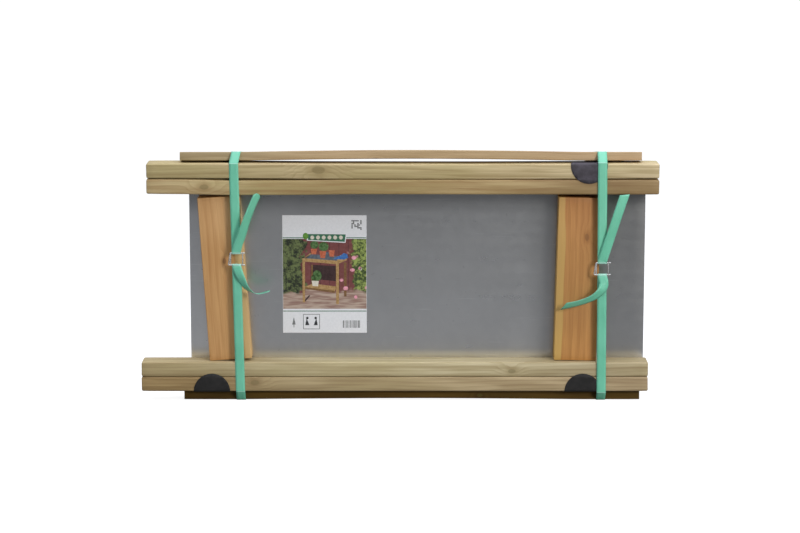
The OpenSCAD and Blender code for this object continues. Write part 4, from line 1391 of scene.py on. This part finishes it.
# %% Draw the bench in the picture
BENCH_SHAPES = [
    # colour, layer, corners in per cent of the card
    ("timber_dark", 2, (34, 37), (36.5, 37), (36.5, 58), (34, 58)),
    ("timber_dark", 2, (73, 31), (76, 31), (76, 60), (73, 60)),
    ("shade", 2, (36, 46), (64, 44), (64, 57), (36, 58)),
    ("timber", 3, (24, 63), (33, 68), (35, 68), (26, 62)),
    ("slate", 3, (25, 63.5), (64, 61.5), (75, 65), (34, 67)),
    ("timber", 4, (23.5, 61), (65, 58.5), (65, 61.5), (23.5, 63.8)),
    ("timber", 4, (65, 58.5), (76.5, 62), (76.5, 65), (65, 61.5)),
    ("timber", 5, (65, 61.5), (72, 63.7), (72.5, 66), (69, 66.5), (66, 65)),
    ("timber", 3, (25, 39), (36, 42), (64, 39.5), (62, 35.5)),
    ("timber_dark", 4, (25, 37.6), (62, 34), (62, 35.8), (25, 39.2)),
    ("timber", 5, (23.6, 26), (26.6, 26), (26.6, 61.5), (23.6, 61.5)),
    ("timber", 5, (63.5, 24.5), (67, 24.5), (67, 59.5), (63.5, 59.5)),
    ("shade", 2, (26.6, 26.5), (33, 32), (31, 32), (24, 26.5)),
    ("cream", 6, (35.5, 40), (42, 39.7), (43, 44.2), (34.5, 44.5)),
    ("clay", 6, (34.5, 67), (40, 67), (41, 71.5), (33.5, 71.5)),
    ("clay", 6, (45, 63.8), (50.5, 63.6), (52, 69.6), (44, 69.8)),
    ("clay", 6, (56, 65), (61, 64.8), (62.2, 70.4), (55, 70.6)),
    ("slate", 6, (51.5, 64), (55, 64), (55, 69), (51.5, 69)),
    ("blue", 6, (60, 62.8), (74, 62.6), (78, 64), (77, 67), (73, 68), (70, 66.4), (66, 65.2)),
]
BENCH_BLOBS = [
    ("foliage", 7, 38, 75, 5, 3.4), ("foliage", 7, 49, 73.5, 6, 4), ("foliage", 7, 41, 48.8, 5.5, 4.6),
    ("foliage", 7, 37, 47, 3, 2.6), ("pink", 7, 85, 64, 3, 1.7), ("pink", 7, 83, 53.6, 3, 1.4),
    ("pink", 7, 70, 45, 2.4, 1.4), ("pink", 7, 75, 38, 3, 1.8), ("pink", 7, 92, 55, 2, 1.4),
    ("cream", 7, 93, 54.6, 1.6, 1.2), ("pink", 7, 87, 30.5, 2, 1.6),
]
for color, layer, *corners in BENCH_SHAPES:
    print_shape(color, layer, *corners)
for color, layer, u, v, ru, rv in BENCH_BLOBS:
    print_blob(color, layer, u, v, ru, rv, 10)
print(len(BENCH_SHAPES) + len(BENCH_BLOBS), "shapes in the little bench")

# %% Print the badge and the small marks
MARK_ROWS, MARK_COLUMNS, MARK_CHANCE = 7, 7, 0.55
BAR_WIDTHS, BAR_GAPS, BARS_END = (0.5, 0.8, 1.3), (0.5, 0.9), 92

# The badge, with a row of leaves on it and a larger leaf at its end.
print_shape("white", 7, (29, 78.6), (75, 76.6), (76.5, 84.4), (29, 84.9))
print_shape("green", 8, (30.5, 79.2), (74, 77.5), (75.2, 83.8), (30.5, 84.2))
for k in range(6):
    print_blob("cream", 9, 35.5 + 6.8 * k, 81.2, 2.3, 1.7, 12)
print_blob("leaf", 10, 27.6, 82.4, 3.4, 2.8, 12)

# A square of scattered marks at the upper right.
rng = random.Random(5)
for row in range(MARK_ROWS):
    for column in range(MARK_COLUMNS):
        if rng.random() < MARK_CHANCE:
            u, v = 82 + 1.75 * column, 87.6 + 1.2 * row
            print_box("grey", 2, u, v, u + 1.6, v + 1.1)

# A framed pair of figures, a little tree and a row of bars along the foot.
print_box("grey", 1, 24, 3, 44, 16)
print_box("white", 2, 24.7, 3.5, 43.3, 15.5)
for u, lean in ((29, -1), (39, 1)):
    print_shape("black", 3, (u - 2.4, 6.5), (u + 2.4, 6.5), (u + 0.8 * lean, 12.5))
    print_blob("black", 3, u, 12.6, 1.5, 1.1, 10)
print_shape("grey", 2, (11, 7), (15, 7), (13, 13.5))
print_box("grey", 2, 12.6, 4.6, 13.4, 7)
bar = 71.5
while bar < BARS_END:
    bar_width = rng.choice(BAR_WIDTHS)
    print_box("grey", 2, bar, 4.2, bar + bar_width, 10.5)
    bar += bar_width + rng.choice(BAR_GAPS)
settle(prints, "label_print", [INKS[n] for n in INK_NAMES], recalculate=False)
print("label printed")

# %% [markdown]
# ## The bag of fixings and the leaflet
#
# Behind the pack, a clear bag of wood screws and the folded assembly sheet stand on the bottom
# board. The bag is two grids blown apart like a pillow and welded round a flat seam. A screw
# could have a true helix, but inside the bag that isn't seen. So a screw is a circle extruded
# along its axis while its radius swells and shrinks into threads and a head.

# %% Make the bag
BAG_COLUMNS, BAG_ROWS = 36, 26
SEAM_ACROSS, SEAM_UP = 2.14, 2.2
FULLNESS = 0.86
CREASES = ((9, 7, 0.14), (24, 22, 0.05))
film, graph, where = start_material("bag_film_clear")
crinkle = graph.noise(where, 45, 4, 0.6)
graph.feed(shader_of(film), {
    "Base Color": graph.mix(graph.ramp(crinkle, 0.35, 0.65), rgb(226, 232, 232), rgb(244, 247, 247)),
    "Alpha": graph.ramp(crinkle, 0.3, 0.7, 0.14, 0.3), "Roughness": 0.16,
    "Normal": bump(graph, crinkle, 0.5, 0.8 * MM),
})


def dome(share):
    """The rise of a blown-up bag: 1 in its middle, 0 from its seam outwards."""
    return max(0, 1 - share ** 2) ** 0.5


bag_centre, bag_size = centre_and_size("fixings_bag")
bm = bmesh.new()
for facing in (-1, 1):
    half = bmesh.ops.create_grid(bm, x_segments=BAG_COLUMNS, y_segments=BAG_ROWS, size=0.5)["verts"]
    for vert in half:
        across, up = vert.co.x, vert.co.y
        puff = dome(SEAM_ACROSS * across) * dome(SEAM_UP * up)
        crease = sum(noise.noise(Vector((across * a, up * b, facing))) * deep for a, b, deep in CREASES)
        out = facing * bag_size.y / 2 * puff * (FULLNESS + crease)
        vert.co = Vector((across * bag_size.x, out, up * bag_size.z))
bmesh.ops.remove_doubles(bm, verts=bm.verts[:], dist=0.01 * MM)
bmesh.ops.translate(bm, vec=bag_centre, verts=bm.verts[:])
settle(bm, "fixings_bag_film", [film], "fixings_bag", angle=math.radians(80))
print("bag", [round(v / MM) for v in bag_size])

# %% Make the screws
zinc_yellow, graph, where = start_material("screw_steel_yellow")
passivated = graph.noise(where, 300, 3)
graph.feed(shader_of(zinc_yellow), {
    "Base Color": graph.mix(graph.ramp(passivated, 0.35, 0.65), rgb(206, 180, 112), rgb(226, 206, 150)),
    "Roughness": graph.ramp(passivated, 0.3, 0.7, 0.25, 0.38), "Metallic": 1.0,
    "Normal": bump(graph, passivated, 0.15, 0.05 * MM),
})
SCREW_COUNT, SCREW_D = 9, 4 * MM
POINT, CORE, SHANK, HEAD = 0.06, 0.74, 0.78, 1.76
THREAD_FROM, THREAD_PITCH, THREAD_TO, SHANK_FROM = 3.8 * MM, 1.9 * MM, 0.62, 0.66
HEAD_DEPTH, HEAD_RIM = 2.6 * MM, 0.5 * MM
RECESS_INSET, RECESS_DEPTH = 1.9 * MM, 1.4 * MM


def screw_profile(height):
    """Stations (height, share of the screw's radius) from its point to its head."""
    profile = [(0, POINT), (3.2 * MM, 0.7)]
    z = THREAD_FROM
    while z < height * THREAD_TO:
        profile += [(z, CORE), (z + 0.7 * MM, 1.0), (z + 0.9 * MM, 1.0), (z + 1.5 * MM, CORE)]
        z += THREAD_PITCH
    profile += [(height * SHANK_FROM, SHANK), (height - HEAD_DEPTH, SHANK)]
    return profile + [(height - HEAD_RIM, HEAD), (height, HEAD)]


screws_low, screws_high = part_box("screws")
screw_pitch = (screws_high.x - screws_low.x - 1.8 * SCREW_D) / (SCREW_COUNT - 1)
screw_y, screw_mid_z = (screws_low.y + screws_high.y) / 2, (screws_low.z + screws_high.z) / 2
stations = screw_profile(screws_high.z - screws_low.z)
bm = bmesh.new()
for number in range(SCREW_COUNT):
    x = screws_low.x + 0.9 * SCREW_D + number * screw_pitch
    route = [Vector((x, screw_y, screws_low.z + z)) for z, _ in stations]
    sweep_wire(bm, route, SCREW_D / 2, 14, [share for _, share in stations])
caps = [f for f in bm.faces if len(f.verts) > 4 and f.calc_center_median().z > screw_mid_z]
bmesh.ops.inset_individual(bm, faces=caps, thickness=RECESS_INSET, depth=0)
bmesh.ops.translate(bm, vec=(0, 0, -RECESS_DEPTH), verts=list({v for f in caps for v in f.verts}))
settle(bm, "wood_screws", [zinc_yellow], "screws")
print(SCREW_COUNT, "screws")

# %% Print and fold the leaflet
LEAVES, LEAF_STEPS = 4, 6
PAPER, LEAF_RIPPLE, LINE_PITCH = 0.16 * MM, 0.1 * MM, 7 * MM
paper, graph, where = start_material("leaflet_paper_white")
pulp = graph.noise(where, 400, 3)
line_share = graph.math("FRACT", graph.math("MULTIPLY", graph.split(where)[2], 1 / LINE_PITCH))
ruled = graph.ramp(line_share, 0.82, 0.9)
tone = graph.mix(graph.ramp(pulp, 0.3, 0.7), rgb(226, 226, 220), rgb(238, 238, 233))
graph.feed(shader_of(paper), {
    "Base Color": graph.mix(graph.math("MULTIPLY", ruled, 0.25), tone, rgb(150, 150, 150)),
    "Roughness": graph.ramp(pulp, 0.3, 0.7, 0.7, 0.82), "Normal": bump(graph, pulp, 0.2, 0.1 * MM),
})

leaf_low, leaf_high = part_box("leaflet")
leaf_gap = (leaf_high.y - leaf_low.y - PAPER) / (LEAVES - 1)
leaf_z = (leaf_low.z + leaf_high.z) / 2
route = []
for leaf in range(LEAVES):
    y = leaf_low.y + PAPER / 2 + leaf * leaf_gap
    way = 1 if leaf % 2 == 0 else -1
    start, end = (leaf_low.x + 1 * MM, leaf_high.x - 1 * MM)[::way]
    for k in range(LEAF_STEPS + 1):
        ripple = LEAF_RIPPLE * math.sin(k + leaf)
        route.append(Vector((start + (end - start) * k / LEAF_STEPS, y + ripple, leaf_z)))
    if leaf < LEAVES - 1:
        for turn in (math.pi / 4, math.pi / 2, math.pi * 3 / 4):
            out = way * math.sin(turn) * leaf_gap / 2
            route.append(Vector((end + out, y + (1 - math.cos(turn)) * leaf_gap / 2, leaf_z)))
bm = bmesh.new()
lay_band(bm, route, [Vector((0, 0, 1))] * len(route), leaf_high.z - leaf_low.z)
piece = settle(bm, "assembly_leaflet", [paper], "leaflet", angle=math.radians(60))
wall = piece.modifiers.new("paper_thickness", "SOLIDIFY")
wall.thickness = PAPER
wall.offset = 0
print(LEAVES, "leaves of paper")
